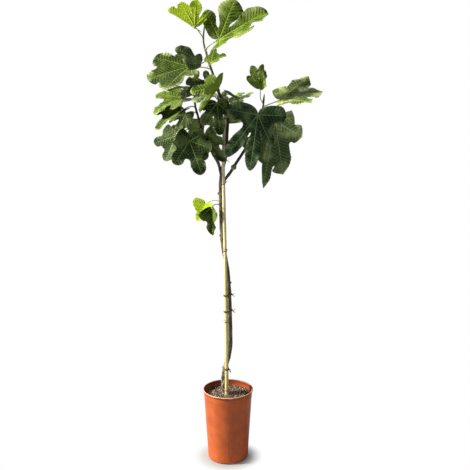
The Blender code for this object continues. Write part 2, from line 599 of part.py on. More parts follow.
def add_soil():
    mix = finish_material("potting_soil", (0.09, 0.07, 0.055), 0.95)
    floor = POT_FOOT_HEIGHT + POT_FLOOR + GAP
    lip = POT_HEIGHT - POT_LIP_DROP
    edge = SOIL_TOP - SOIL_FALL

    def inside(height):
        low, high = POT_FOOT_HEIGHT + POT_FLOOR, POT_HEIGHT - POT_LIP_ROUND
        wall = (POT_BASE_RADIUS - POT_WALL, wall_radius(lip) - POT_WALL)
        return np.interp(height, (low, high), wall) - GAP / math.cos(math.pi / POT_SEGMENTS)

    top = [(share * inside(edge), SOIL_TOP - SOIL_FALL * share ** 2) for share in (0.85, 0.6, 0.3)]
    profile = ((0.0, floor), (inside(floor), floor), (inside(edge), edge), *top, (0.0, SOIL_TOP))
    soil = add_turned("potting_soil", profile, POT_SEGMENTS, mix)
    for name, x, y, radius, depth in (
            ("cane_hole", CANE_ROUTE[0][0], CANE_Y, cane_radius(0.0), CANE_DEPTH),
            ("trunk_hole", TRUNK_ROUTE[0][0], trunk_y(0.0), 0.5 * TRUNK_FOOT_DIAMETER,
             TRUNK_DEPTH)):
        bore = (radius + GAP) / math.cos(math.pi / STEM_SIDES)
        line = [(x, y, SOIL_TOP - depth - GAP), (x, y, SOIL_TOP + HEADSPACE)]
        add_boolean(soil, add_tube(name, line, bore, STEM_SIDES, mix), "DIFFERENCE")
    return soil


# ---------------------------------------------------------------- cane, stems, ties
def add_cane():
    straw = finish_material("bamboo", (0.62, 0.50, 0.28), 0.50)
    heights = [CANE_ROUTE[0][1] - CANE_DEPTH]
    swell = [0.0]
    top = CANE_ROUTE[-1][1]
    for node in CANE_NODES:
        heights += [node - CANE_NODE_HALF, node, node + CANE_NODE_HALF]
        swell += [0.0, CANE_NODE_SWELL, 0.0]
    middles = [0.5 * (a + b) for a, b in zip(CANE_NODES[:-1], CANE_NODES[1:])]
    heights += middles + [top]
    swell += [0.0] * (len(middles) + 1)
    order = np.argsort(heights)
    heights, swell = np.array(heights)[order], np.array(swell)[order]
    route = smooth_route([(x, CANE_Y, z) for x, z in CANE_ROUTE], STEM_ROW)
    x = np.interp(heights, route[:, 2], route[:, 0])
    line = np.stack([x, np.full(len(x), CANE_Y), heights + SOIL_TOP], axis=1)
    return add_tube("bamboo_cane", line, cane_radius(heights) + swell, CANE_SIDES, straw)


def add_woody_stem():
    """Trunk, leader and both branches grew as one piece."""
    bark = finish_material("fig_bark", (0.26, 0.22, 0.15), 0.75)
    centres, radii = stem_rows("trunk")
    foot = centres[0] - (0.0, 0.0, TRUNK_DEPTH)
    line = np.vstack([foot, centres]) + (0.0, 0.0, SOIL_TOP)
    stem = add_tube("woody_stem", line, np.concatenate([[radii[0]], radii]), STEM_SIDES, bark)
    for name in ("left", "right"):
        centres, radii = stem_rows(name)
        branch = add_tube(f"{name}_branch", centres + (0.0, 0.0, SOIL_TOP), radii, STEM_SIDES, bark)
        add_boolean(stem, branch, "UNION")
    return stem


def add_buds():
    sheath = finish_material("bud_green", (0.30, 0.40, 0.08), 0.45)
    buds = []
    for name in ("trunk", "left", "right"):
        centres, radii = stem_rows(name)
        up = unit(centres[-1] - centres[-2])
        foot = centres[-1] + up * GAP + (0.0, 0.0, SOIL_TOP)
        wide = radii[-1]
        profile = ((0.0, 0.0), (0.80 * wide, 0.0), (1.05 * wide, 0.22 * BUD_LENGTH),
                   (0.72 * wide, 0.60 * BUD_LENGTH), (0.22 * wide, 0.92 * BUD_LENGTH),
                   (0.0, BUD_LENGTH))
        name = {"trunk": "leader_bud", "left": "left_bud", "right": "right_bud"}[name]
        buds.append(add_turned(name, profile, BUD_SIDES, sheath, foot, up))
    return buds


def add_figs():
    skin = finish_material("fig_skin", (0.22, 0.27, 0.08), 0.50)
    r = 0.5 * FIG_DIAMETER
    profile = ((0.0, 0.0), (0.20 * r, 0.0), (0.22 * r, 0.45 * r), (0.62 * r, 0.95 * r),
               (0.97 * r, 1.60 * r), (0.95 * r, 2.10 * r), (0.60 * r, 2.62 * r), (0.0, 2.78 * r))
    figs = []
    for name, stem, height, way in FIGS:
        centre, radius, outward, upward = stem_seat(stem, height, np.add(way, (0, 0, height)))
        way = unit(way)
        lean = abs(way @ upward)
        outward = unit(way - upward * (way @ upward))
        foot = centre + outward * (radius + 0.20 * r * lean + GAP)
        figs.append(add_turned(name, profile, FIG_SIDES, skin, foot + (0, 0, SOIL_TOP), way))
    return figs


def loop_line(height):
    """The shortest loop round the cane and the trunk at one height, TIE_SLACK clear of both."""
    centres, radii = stem_rows("trunk")
    route = smooth_route([(x, CANE_Y, z) for x, z in CANE_ROUTE], STEM_ROW)
    trunk = np.array([np.interp(height, centres[:, 2], centres[:, i]) for i in range(2)])
    cane = np.array([np.interp(height, route[:, 2], route[:, 0]), CANE_Y])
    clear = 0.5 * TIE_DIAMETER + TIE_SLACK
    reach = (cane_radius(height) + clear, np.interp(height, centres[:, 2], radii) + clear)
    turn = 2.0 * math.pi * np.arange(TIE_TURN_POINTS) / TIE_TURN_POINTS
    out = np.stack([np.cos(turn), np.sin(turn)], axis=1)
    far = (out @ cane + reach[0] > out @ trunk + reach[1])[:, None]
    flat = np.where(far, cane + out * reach[0], trunk + out * reach[1])
    return np.column_stack([flat, np.full(len(flat), height + SOIL_TOP)])


def add_tie(name, height, kind):
    finish = {"tape": ("tie_tape", (0.05, 0.20, 0.08), 0.45),
              "string": ("tie_string", (0.30, 0.20, 0.12), 0.85),
              "wire": ("tie_wire", (0.75, 0.75, 0.70), 0.35)}[kind]
    material = finish_material(*finish)
    line = loop_line(height)
    middle = line.mean(axis=0)
    count = len(line)
    points = []
    faces = []
    radius = 0.5 * TIE_DIAMETER
    way = np.roll(line, -1, axis=0) - np.roll(line, 1, axis=0)
    way /= np.linalg.norm(way, axis=1)[:, None]
    out = np.cross(way, (0.0, 0.0, 1.0))
    for k in range(TIE_SIDES):
        angle = 2.0 * math.pi * k / TIE_SIDES
        points.append(line + radius * (math.cos(angle) * out
                                       + math.sin(angle) * np.array([0.0, 0.0, 1.0])))
    points = np.concatenate(points)
    for k in range(TIE_SIDES):
        for row in range(count):
            a, b = k * count, (k + 1) % TIE_SIDES * count
            nxt = (row + 1) % count
            faces.append((a + row, a + nxt, b + nxt, b + row))
    tie = add_object(name, points, faces, material, merge=1e-6)
    side = int(np.argmax(line[:, 0] - 0.4 * line[:, 1]))
    knot = line[side]
    away = unit(knot - middle)
    for number, fall in enumerate((0.35, -0.75)):
        end = knot + away * TIE_TAIL + np.array([0.0, -0.3 * TIE_TAIL, fall * TIE_TAIL])
        tail = [knot - 0.2 * radius * away, 0.5 * (knot + end) + (0.0, 0.0, 0.1 * TIE_TAIL), end]
        tool = add_tube(f"{name}_tail_{number}", tail, 0.8 * radius, TIE_SIDES, material)
        add_boolean(tie, tool, "UNION")
    return tie


# ---------------------------------------------------------------- leaves
def add_leaf(leaf):
    green = finish_material("fig_leaf", (0.07, 0.18, 0.04), 0.45)
    points, faces = blade_mesh(leaf)
    blade = add_object(leaf["name"], points, faces, green, merge=1e-5)
    skin = blade.modifiers.new("Thickness", "SOLIDIFY")
    skin.thickness = BLADE_THICKNESS
    skin.offset = 0.0
    petiole = add_tube(f"{leaf['name']}_petiole", petiole_line(leaf), 0.5 * PETIOLE_DIAMETER,
                       PETIOLE_SIDES, green)
    add_boolean(blade, petiole, "UNION")
    return blade


def main():
    clear_scene()
    add_pot()
    add_soil()
    add_cane()
    add_woody_stem()
    add_buds()
    add_figs()
    for name, height, kind in TIES:
        add_tie(name, height, kind)
    for leaf in LEAVES:
        add_leaf(leaf)


if __name__ == "__main__":
    main()
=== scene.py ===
import math

import bmesh
import bpy
import numpy as np
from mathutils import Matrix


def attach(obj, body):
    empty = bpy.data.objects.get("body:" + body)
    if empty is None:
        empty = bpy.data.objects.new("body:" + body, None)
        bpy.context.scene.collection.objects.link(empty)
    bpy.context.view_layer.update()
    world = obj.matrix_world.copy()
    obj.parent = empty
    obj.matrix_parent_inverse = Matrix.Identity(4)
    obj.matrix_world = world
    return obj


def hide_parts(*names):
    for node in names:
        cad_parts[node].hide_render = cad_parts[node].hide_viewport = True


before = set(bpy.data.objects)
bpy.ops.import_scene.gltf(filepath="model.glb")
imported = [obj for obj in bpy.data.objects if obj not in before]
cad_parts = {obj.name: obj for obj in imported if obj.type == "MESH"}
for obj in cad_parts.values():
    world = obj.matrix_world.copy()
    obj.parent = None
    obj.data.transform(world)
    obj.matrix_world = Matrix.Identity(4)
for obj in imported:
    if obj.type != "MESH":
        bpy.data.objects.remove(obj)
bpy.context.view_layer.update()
soilTop = 0.2675  # the soil's height; places on the plant are given above it
print("frame loaded:", len(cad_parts), "pieces")


# ---- shapes from grids
def unit(vector):
    vector = np.asarray(vector, float)
    return vector / np.linalg.norm(vector)


# Soft step: 0 below low, 1 above high, 3x^2 - 2x^3 between.
def softStep(value, low, high):
    x = np.clip((value - low) / (high - low), 0.0, 1.0)
    return x * x * (3.0 - 2.0 * x)


# Bell: e to the power of minus (value / width)^2.
def bell(value, width):
    return np.exp(-(value / width) ** 2)


# Distance run along a line, at each of its points.
def runOf(line):
    return np.concatenate([[0.0], np.cumsum(np.linalg.norm(np.diff(line, axis=0), axis=1))])


# Points turned about the upright axis.
def spun(points, angle):
    cosine, sine = math.cos(angle), math.sin(angle)
    return points @ np.array([[cosine, sine, 0.0], [-sine, cosine, 0.0], [0.0, 0.0, 1.0]])


# The piece's name from its node's: words run together, each but the first with a capital.
def pieceName(node):
    first, *words = node.split("_")
    return first + "".join(word.title() for word in words)


# Sum of a dozen plane waves about one wavelength long, in seeded directions, near -1 to 1.
def ripple(points, wavelength, seed):
    rng = np.random.default_rng(seed)
    ways = rng.normal(size=(12, 3))
    ways *= (rng.uniform(0.6, 1.7, 12) / np.linalg.norm(ways, axis=1))[:, None]
    waves = np.sin(np.asarray(points) @ ways.T * (2.0 * math.pi / wavelength)
                   + rng.uniform(0.0, 2.0 * math.pi, 12))
    return waves.sum(axis=-1) / 3.5


# Quads of a grid of rows x columns points; a wrapped grid joins its last line to its first.
def gridFaces(rows, columns, wrapRows=False, wrapColumns=False, flip=False):
    i = np.arange(rows if wrapRows else rows - 1)[:, None]
    j = np.arange(columns if wrapColumns else columns - 1)[None, :]
    nextI, nextJ = (i + 1) % rows, (j + 1) % columns
    quads = np.stack([i * columns + j, i * columns + nextJ, nextI * columns + nextJ,
                      nextI * columns + j], axis=-1).reshape(-1, 4)
    return quads[:, ::-1] if flip else quads


# Several (points, faces, straight) shapes as one.
def joined(shapes):
    starts = np.cumsum([0] + [len(shape[0]) for shape in shapes[:-1]])
    return (np.concatenate([shape[0] for shape in shapes]),
            np.concatenate([shape[1] + start for shape, start in zip(shapes, starts)]),
            np.concatenate([shape[2] for shape in shapes]))


# A ring of points is carried along the line, square to it, its radius given by
# radiusOf(distance along, angle round); each end closes with a dome of bulge x radius.
# The straight map is the same tube laid straight: x and y across it, z along it.
def tubeShape(line, radiusOf, sides, bulge=(0.3, 0.3)):
    line = np.asarray(line, float)
    way = np.gradient(line, axis=0)
    way /= np.linalg.norm(way, axis=1)[:, None]
    along = runOf(line)
    steady = np.cross(way[0], way[-1])
    if np.linalg.norm(steady) < 0.08:
        chord = unit(line[-1] - line[0])
        steady = np.cross(chord, np.eye(3)[np.argmin(np.abs(chord))])
    first = steady - way * (way @ steady)[:, None]
    first /= np.linalg.norm(first, axis=1)[:, None]
    second = np.cross(way, first)
    turn = 2.0 * math.pi * np.arange(sides) / sides
    radii = np.broadcast_to(radiusOf(along[:, None], turn[None, :]), (len(line), sides))
    tilt = np.radians([90.0, 68.0, 45.0, 22.0])
    rows = [(0, -np.sin(a) * bulge[0], np.cos(a)) for a in tilt]
    rows += [(row, 0.0, 1.0) for row in range(len(line))]
    rows += [(len(line) - 1, np.sin(a) * bulge[1], np.cos(a)) for a in tilt[::-1]]
    at = np.array([row[0] for row in rows])
    size = radii[at].mean(axis=1)
    centre = line[at] + way[at] * (np.array([row[1] for row in rows]) * size)[:, None]
    radii = radii[at] * np.array([row[2] for row in rows])[:, None]
    height = along[at] + np.array([row[1] for row in rows]) * size
    straight = np.stack([radii * np.cos(turn), radii * np.sin(turn),
                         np.broadcast_to(height[:, None], radii.shape)], axis=-1)
    points = (centre[:, None, :] + straight[..., :1] * first[at][:, None, :]
              + straight[..., 1:2] * second[at][:, None, :])
    return points.reshape(-1, 3), gridFaces(len(at), sides, wrapColumns=True), straight.reshape(-1, 3)


# A profile of (radius, height) is turned about an axis that stands on base.
def turnedShape(profile, sides, base=(0, 0, 0), axis=(0, 0, 1), radiusOf=None):
    profile = np.asarray(profile, float)
    turn = 2.0 * math.pi * np.arange(sides)[None, :] / sides
    radius, height = profile[:, :1], profile[:, 1:]
    radius = radius * (radiusOf(height, turn) if radiusOf else 1.0 + 0.0 * turn)
    straight = np.stack([radius * np.cos(turn), radius * np.sin(turn),
                         height + 0.0 * turn], axis=-1).reshape(-1, 3)
    up = unit(axis)
    side = np.array([1.0, 0.0, 0.0]) if up[2] > 0.999 else unit(np.cross(up, (0.3, 1.0, 0.2)))
    points = np.asarray(base, float) + straight @ np.stack([side, np.cross(up, side), up])
    return points, gridFaces(len(profile), sides, wrapColumns=True), straight


# Puts a shape into a mesh, closes its seams and poles, and hands it to the frame.
def makePiece(name, node, shape, materials, leafMap=None, values=None, merge=4e-6):
    points, faces, straight = shape
    mesh = bpy.data.meshes.new(name)
    mesh.from_pydata(points.tolist(), [], faces.tolist())
    if straight is not None:
        mesh.attributes.new("straight", "FLOAT_VECTOR", "POINT")
        mesh.attributes["straight"].data.foreach_set("vector", straight.ravel())
    for key, value in (values or {}).items():
        mesh.attributes.new(key, "FLOAT", "POINT")
        mesh.attributes[key].data.foreach_set("value", np.asarray(value, float).ravel())
    if leafMap is not None:
        corner = np.empty(len(mesh.loops), int)
        mesh.loops.foreach_get("vertex_index", corner)
        mesh.uv_layers.new(name="leafMap").data.foreach_set("uv", leafMap[corner].ravel())
    work = bmesh.new()
    work.from_mesh(mesh)
    bmesh.ops.remove_doubles(work, verts=work.verts, dist=merge)
    work.to_mesh(mesh)
    work.free()
    mesh.shade_smooth()
    piece = bpy.data.objects.new(name, mesh)
    bpy.context.scene.collection.objects.link(piece)
    for material in materials:
        mesh.materials.append(material)
    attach(piece, "root")
    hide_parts(node)
    return piece


# ---- material helpers
def feed(tree, node, feeds):
    for key, value in feeds.items():
        if isinstance(value, bpy.types.NodeSocket):
            tree.links.new(value, node.inputs[key])
        else:
            node.inputs[key].default_value = value
    return node


def put(tree, kind, feeds=None, **settings):
    node = tree.nodes.new("ShaderNode" + kind)
    for key, value in settings.items():
        setattr(node, key, value)
    return feed(tree, node, feeds or {})


def calc(tree, operation, *feeds):
    return put(tree, "Math", dict(enumerate(feeds)), operation=operation).outputs[0]


def times(tree, value, factor):
    return calc(tree, "MULTIPLY", value, factor)


# value x factor + extra
def timesPlus(tree, value, factor, extra):
    return calc(tree, "MULTIPLY_ADD", value, factor, extra)


# Soft step between low and high; low above high turns the mask over.
def stepMask(tree, value, low, high, floor=0.0, top=1.0):
    return put(tree, "MapRange", {"Value": value, "From Min": low, "From Max": high,
                                  "To Min": floor, "To Max": top},
               interpolation_type="SMOOTHSTEP").outputs["Result"]


def blend(tree, factor, under, over):
    feeds = {0: factor, 6: under, 7: over}
    for key in (6, 7):
        if not isinstance(feeds[key], bpy.types.NodeSocket):
            feeds[key] = (*feeds[key], 1.0)
    return put(tree, "Mix", feeds, data_type="RGBA").outputs[2]


# Colours laid over one another, each where its mask is, at a share of its strength.
def layered(tree, colour, *layers):
    for mask, share, over in layers:
        colour = blend(tree, times(tree, mask, share), colour, over)
    return colour


def newGroup(name, inputs, outputs):
    group = bpy.data.node_groups.new(name, "ShaderNodeTree")
    for socket, kind, value in inputs:
        made = group.interface.new_socket(name=socket, in_out="INPUT", socket_type=f"NodeSocket{kind}")
        if value is not None:
            made.default_value = value
    for socket in outputs:
        group.interface.new_socket(name=socket, in_out="OUTPUT", socket_type="NodeSocketFloat")
    return group, group.nodes.new("NodeGroupInput").outputs, group.nodes.new("NodeGroupOutput").inputs


def useGroup(tree, group, feeds):
    node = tree.nodes.new("ShaderNodeGroup")
    node.node_tree = group
    return feed(tree, node, feeds).outputs


def newMaterial(name, roughness, specular=0.5):
    material = bpy.data.materials.new(name)
    material.use_nodes = True
    shader = material.node_tree.nodes["Principled BSDF"]
    shader.inputs["Roughness"].default_value = roughness
    shader.inputs["Specular IOR Level"].default_value = specular
    return material, material.node_tree, shader


# The map of a tube laid straight, which its bark, fibres or skin follow.
def straightPlace(tree):
    return put(tree, "Attribute", attribute_name="straight").outputs["Vector"]


def objectPlace(tree):
    return put(tree, "TexCoord").outputs["Object"]


# Colour, roughness and bump go to the shader.
def dress(tree, shader, colour, roughness, height, distance, strength):
    bump = put(tree, "Bump", {"Height": height, "Distance": distance, "Strength": strength})
    feed(tree, shader, {"Base Color": colour, "Roughness": roughness, "Normal": bump.outputs["Normal"]})


# Patches: stretched noise pushed to a mask between two levels.
def makePatchGroup():
    group, given, result = newGroup("patches", (
        ("Place", "Vector", None), ("Scale", "Float", 30.0), ("Stretch", "Vector", (1.0, 1.0, 1.0)),
        ("Low", "Float", 0.4), ("High", "Float", 0.6)), ("Mask", "Raw"))
    place = put(group, "VectorMath", {0: given["Place"], 1: given["Stretch"]}, operation="MULTIPLY")
    noise = put(group, "TexNoise", {"Vector": place.outputs[0], "Scale": given["Scale"],
                                    "Detail": 4.0, "Roughness": 0.55}).outputs["Fac"]
    group.links.new(stepMask(group, noise, given["Low"], given["High"]), result["Mask"])
    group.links.new(noise, result["Raw"])
    return group


def patches(tree, place, scale, low, high, stretch=(1.0, 1.0, 1.0)):
    return useGroup(tree, patchGroup, {"Place": place, "Scale": scale, "Low": low, "High": high,
                                       "Stretch": stretch})


# Leaf veins on the map u along a lobe and v across it: the main vein where |v| is small, side
# veins where (u - rise |v| + sweep v^2) / spacing is whole, and a fine net of cell edges.
def makeVeinGroup():
    group, given, result = newGroup("leafVeins", (
        ("Map", "Vector", None), ("Lobe Share", "Float", 0.5), ("Main Width", "Float", 0.013)),
        ("Main", "Side", "Net", "Field", "Relief"))
    parts = put(group, "SeparateXYZ", {0: given["Map"]}).outputs
    away = calc(group, "ABSOLUTE", parts["Y"])
    slant = timesPlus(group, away, -leafVeins["rise"], parts["X"])
    slant = timesPlus(group, times(group, away, away), leafVeins["sweep"], slant)
    field = calc(group, "PINGPONG", calc(group, "DIVIDE", slant, leafVeins["spacing"]), 0.5)
    thin = calc(group, "MAXIMUM", timesPlus(group, away, -0.30, 0.14), 0.055)
    side = calc(group, "SMOOTH_MIN", calc(group, "DIVIDE", field, thin), 1.0, 0.3)
    side = calc(group, "MAXIMUM", calc(group, "SUBTRACT", 1.0, side), 0.0)
    narrow = times(group, calc(group, "SUBTRACT", 1.15, given["Lobe Share"]), given["Main Width"])
    main = calc(group, "SUBTRACT", 1.0, calc(group, "DIVIDE", away, narrow))
    main = stepMask(group, main, 0.0, 0.6)
    cells = put(group, "TexVoronoi", {"Vector": given["Map"], "Scale": leafVeins["netScale"],
                                      "Randomness": 0.8}, feature="DISTANCE_TO_EDGE")
    net = stepMask(group, cells.outputs["Distance"], 0.10, 0.01)
    relief = timesPlus(group, side, -0.55, times(group, field, 0.7))
    relief = timesPlus(group, main, -0.8, timesPlus(group, net, -0.22, relief))
    for key, socket in (("Main", main), ("Side", side), ("Net", net), ("Field", field),
                        ("Relief", relief)):
        group.links.new(socket, result[key])
    return group


leafVeins = {"spacing": 0.085, "rise": 0.80, "sweep": 1.1, "netScale": 42.0}  # on the leaf's map
patchGroup = makePatchGroup()
veinGroup = makeVeinGroup()


# ---- studio
studio = {
    "eye": (0.028, -3.0, 1.534), "pitch": 11.66, "lens": 61.19,
    "lights": (("key", (-6.0, -0.9, 5.0), 1.0, 1450.0, (1.0, 0.96, 0.87)),
               ("back", (-1.6, 3.4, 4.4), 1.2, 90.0, (1.0, 0.98, 0.90)),
               ("fill", (3.0, -4.0, 2.0), 2.6, 18.0, (0.92, 0.96, 1.0))),
    "middle": (0.0, 0.0, 0.95), "skyLight": 0.21, "floorSize": 60.0,
    "contact": (0.0790, 0.145),  # the floor darkens between these distances from the pot's axis
}


def makeStudio():
    scene = bpy.context.scene
    scene.view_settings.view_transform = "Standard"
    camera = bpy.data.objects.new("camera", bpy.data.cameras.new("camera"))
    camera.data.lens = studio["lens"]
    camera.data.sensor_width = 36.0
    camera.data.clip_end = 60.0
    camera.location = studio["eye"]
    camera.rotation_euler = (math.radians(90.0 - studio["pitch"]), 0.0, 0.0)
    scene.collection.objects.link(camera)
    scene.camera = camera
    for name, place, size, power, colour in studio["lights"]:
        light = bpy.data.lights.new(name, "AREA")
        light.size = size
        light.energy = power
        light.color = colour
        lamp = bpy.data.objects.new(name, light)
        away = np.subtract(studio["middle"], place)
        lamp.location = place
        lamp.rotation_euler = (math.acos(-unit(away)[2]), 0.0,
                               math.atan2(away[1], away[0]) - math.pi / 2)
        scene.collection.objects.link(lamp)
    world = bpy.data.worlds.new("studio")
    world.use_nodes = True
    scene.world = world
    tree = world.node_tree
    sky = tree.nodes["Background"]
    sky.inputs["Color"].default_value = (0.95, 0.98, 1.0, 1.0)
    sky.inputs["Strength"].default_value = studio["skyLight"]
    seen = put(tree, "Background", {"Color": (1.0, 1.0, 1.0, 1.0), "Strength": 1.0})
    mix = put(tree, "MixShader", {0: put(tree, "LightPath").outputs["Is Camera Ray"],
                                  1: sky.outputs[0], 2: seen.outputs[0]})
    tree.links.new(mix.outputs[0], tree.nodes["World Output"].inputs["Surface"])
    half = 0.5 * studio["floorSize"]
    mesh = bpy.data.meshes.new("floor")
    mesh.from_pydata([(-half, -half, 0), (half, -half, 0), (half, half, 0), (-half, half, 0)], [],
                     [(0, 1, 2, 3)])
    floor = bpy.data.objects.new("floor", mesh)
    scene.collection.objects.link(floor)
    material, tree, shader = newMaterial("paleFloor", 0.9, 0.1)
    shader.inputs["Base Color"].default_value = (0.34, 0.34, 0.34, 1.0)
    glow = put(tree, "Emission", {"Color": (1.0, 1.0, 1.0, 1.0), "Strength": 1.0})
    away = put(tree, "VectorMath", {0: objectPlace(tree)}, operation="LENGTH").outputs["Value"]
    share = times(tree, put(tree, "LightPath").outputs["Is Camera Ray"],
                  stepMask(tree, away, *studio["contact"], 0.10, 1.0))
    mix = put(tree, "MixShader", {0: share, 1: shader.outputs[0], 2: glow.outputs[0]})
    tree.links.new(mix.outputs[0], tree.nodes["Material Output"].inputs["Surface"])
    mesh.materials.append(material)


makeStudio()
print("studio set")


# ---- pot
pot = {
    "height": 0.290, "rim": 0.100, "base": 0.080, "wall": 0.0022, "floor": 0.0030,
    "lipDrop": 0.0065, "lipProud": 0.0030, "lipRound": 0.0014, "collar": 0.034, "step": 0.0008,
    "footHeight": 0.0060, "footWidth": 0.0080, "draft": 0.0015, "pad": 0.026, "chamfer": 0.0040,
    "notches": 4, "notchWidth": 0.024, "notchHeight": 0.0055, "notchAngle": -80.0,
    "holes": 8, "holeRadius": 0.005, "holeBand": (0.036, 0.062), "columns": 288,
}


def wallRadius(height):
    top = pot["rim"] - pot["lipProud"] - pot["step"]
    return np.interp(height, (pot["chamfer"], pot["height"]), (pot["base"], top))


# Corner points joined by straight rows, then each corner is eased by averaging its neighbours.
def easedProfile(corners, step, passes=2):
    corners = np.asarray(corners, float)
    rows = []
    for start, end in zip(corners[:-1], corners[1:]):
        count = max(2, int(np.linalg.norm(end - start) / step))
        rows.append(start + (end - start) * np.linspace(0.0, 1.0, count, endpoint=False)[:, None])
    rows = np.concatenate(rows + [corners[-1:]])
    for _ in range(passes):
        rows[1:-1] = 0.25 * rows[:-2] + 0.5 * rows[1:-1] + 0.25 * rows[2:]
    return rows


# The foot is lifted into an arch, height x sqrt(1 - x^2), at each notch.
def liftNotches(points):
    angle = np.arctan2(points[:, 1], points[:, 0]) - math.radians(pot["notchAngle"])
    part = 2.0 * math.pi / pot["notches"]
    off = (angle + 0.5 * part) % part - 0.5 * part
    across = off * pot["base"] / (0.5 * pot["notchWidth"])
    arch = pot["notchHeight"] * np.sqrt(np.clip(1.0 - across ** 2, 0.0, 1.0))
    ring = np.hypot(points[:, 0], points[:, 1]) > pot["base"] - pot["footWidth"] - pot["draft"]
    lifted = points.copy()
    lifted[:, 2] = np.where(ring & (across ** 2 < 1.0), np.maximum(points[:, 2], arch), points[:, 2])
    return lifted


# A sector of the floor round its drain: rows go straight from the drain's edge to the sector's.
def drainShape(number, low, high):
    near, far = pot["holeBand"]
    columns = pot["columns"] // pot["holes"]
    half = math.pi / pot["holes"]
    turn = np.linspace(-half, half, columns + 1)
    radii = np.linspace(near, far, 15)
    edge = np.concatenate([
        np.stack([near + 0.0 * turn, turn], axis=1)[:-1],
        np.stack([radii, half + 0.0 * radii], axis=1)[:-1],
        np.stack([far + 0.0 * turn, turn[::-1]], axis=1)[:-1],
        np.stack([radii[::-1], -half + 0.0 * radii], axis=1)[:-1]])
    outer = edge[:, :1] * np.stack([np.cos(edge[:, 1]), np.sin(edge[:, 1])], axis=1)
    middle = np.array([0.5 * (pot["pad"] + pot["base"] - pot["footWidth"]), 0.0])
    towards = outer - middle
    inner = middle + pot["holeRadius"] * towards / np.linalg.norm(towards, axis=1)[:, None]
    shares = np.array([1.0, 0.6, 0.3, 0.1, 0.0])
    sheet = inner[None] + (outer - inner)[None] * shares[:, None, None]
    flat = np.concatenate([sheet, sheet[::-1]])
    height = np.repeat([low] * 5 + [high] * 5, len(edge)).reshape(10, -1)
    points = np.concatenate([flat, height[..., None]], axis=2).reshape(-1, 3)
    points = spun(points, math.radians(pot["notchAngle"]) + 2.0 * half * (number + 0.5))
    return points, gridFaces(10, len(edge), wrapColumns=True), points


def makePotMaterial():
    material, tree, shader = newMaterial("terracottaPlastic", 0.40, 0.35)
    place = objectPlace(tree)
    parts = put(tree, "SeparateXYZ", {0: place}).outputs
    height = parts["Z"]
    radius = calc(tree, "SQRT", timesPlus(tree, parts["X"], parts["X"],
                                          times(tree, parts["Y"], parts["Y"])))
    body = patches(tree, place, 26.0, 0.30, 0.72)
    smear = patches(tree, place, 42.0, 0.52, 0.72, (1.0, 1.0, 0.07))
    dust = patches(tree, place, 170.0, 0.50, 0.66)
    speck = patches(tree, place, 1500.0, 0.60, 0.74)
    band = stepMask(tree, height, 0.085, 0.012)
    inside = stepMask(tree, timesPlus(tree, height, -0.0566, radius), 0.0790, 0.0783)
    top = times(tree, stepMask(tree, height, 0.2884, 0.2896), stepMask(tree, dust["Raw"], 0.26, 0.46))
    lipSide = times(tree, stepMask(tree, radius, 0.0985, 0.0999),
                    stepMask(tree, body["Raw"], 0.50, 0.62))
    worn = calc(tree, "MAXIMUM", top, times(tree, lipSide, 0.30))
    # Painted shade: a dark band on the wall just under the lip, where the lip shades it.
    paintedShadeUnderLip = times(tree, stepMask(tree, height, 0.2765, 0.2830),
                     stepMask(tree, radius, 0.0985, 0.0975))
    soilMark = times(tree, stepMask(tree, height, 0.284, 0.266), dust["Mask"])
    colour = layered(
        tree, (0.41, 0.078, 0.016), (body["Mask"], 1.0, (0.505, 0.106, 0.023)),
        (smear["Mask"], 0.22, (0.58, 0.17, 0.06)),
        (band, timesPlus(tree, dust["Mask"], 0.70, 0.12), (0.76, 0.15, 0.032)),
        (speck["Mask"], 0.10, (0.27, 0.07, 0.03)), (worn, 1.0, (0.90, 0.60, 0.46)),
        # Painted shade: the band under the lip, and the whole inside of the pot darkened.
        (paintedShadeUnderLip, 0.80, (0.17, 0.030, 0.010)), (inside, 0.42, (0.15, 0.030, 0.010)),
        (times(tree, inside, soilMark), 0.7, (0.10, 0.05, 0.03)))
    rough = timesPlus(tree, dust["Raw"], 0.30, timesPlus(tree, worn, 0.12, 0.26))
    dress(tree, shader, colour, timesPlus(tree, band, 0.10, rough),
          timesPlus(tree, speck["Raw"], 0.5, smear["Raw"]), 0.0006, 0.35)
    return material


def makePot():
    collar, lip = pot["height"] - pot["collar"], pot["height"] - pot["lipDrop"]
    channel, floor = pot["base"] - pot["footWidth"], pot["footHeight"] + pot["floor"]
    near, far = pot["holeBand"]
    rim, top, ease = pot["rim"], pot["height"], pot["lipRound"]
    inside = wallRadius(lip) - pot["wall"]
    outer = easedProfile((
        (far, pot["footHeight"]), (channel - pot["draft"], pot["footHeight"]), (channel, 0.0),
        (pot["base"] - pot["chamfer"], 0.0), (pot["base"], pot["chamfer"]),
        (wallRadius(0.030), 0.030), (wallRadius(0.030) - 0.0003, 0.0312),
        (wallRadius(collar), collar), (wallRadius(collar) + pot["step"], collar + pot["step"]),
        (wallRadius(lip) + pot["step"] - 0.0002, lip - 0.003), (wallRadius(lip) + pot["step"], lip),
        (rim - ease, lip), (rim, lip + ease), (rim, top - ease), (rim - ease, top),
        (rim - pot["lipProud"], top), (inside, top - ease), (inside - 0.0012, top - 0.020),
        (inside - 0.0022, top - 0.0212), (pot["base"] - pot["wall"], floor), (far, floor)), 0.0026)
    outer[0], outer[-1] = (far, pot["footHeight"]), (far, floor)
    inner = easedProfile(((0.0, 0.0), (pot["pad"], 0.0),
                          (pot["pad"] + pot["draft"], pot["footHeight"]), (near, pot["footHeight"])),
                         0.002)
    cover = easedProfile(((near, floor), (0.0, floor)), 0.006, 0)
    shapes = [turnedShape(profile, pot["columns"]) for profile in (outer, inner, cover)]
    shapes = [(spun(points, math.radians(pot["notchAngle"])), faces, straight)
              for points, faces, straight in shapes]
    shapes += [drainShape(number, pot["footHeight"], floor) for number in range(pot["holes"])]
    points, faces, straight = joined(shapes)
    makePiece("pot", "pot", (liftNotches(points), faces, points),
              [makePotMaterial()], merge=2e-5)


makePot()
print("pot made")


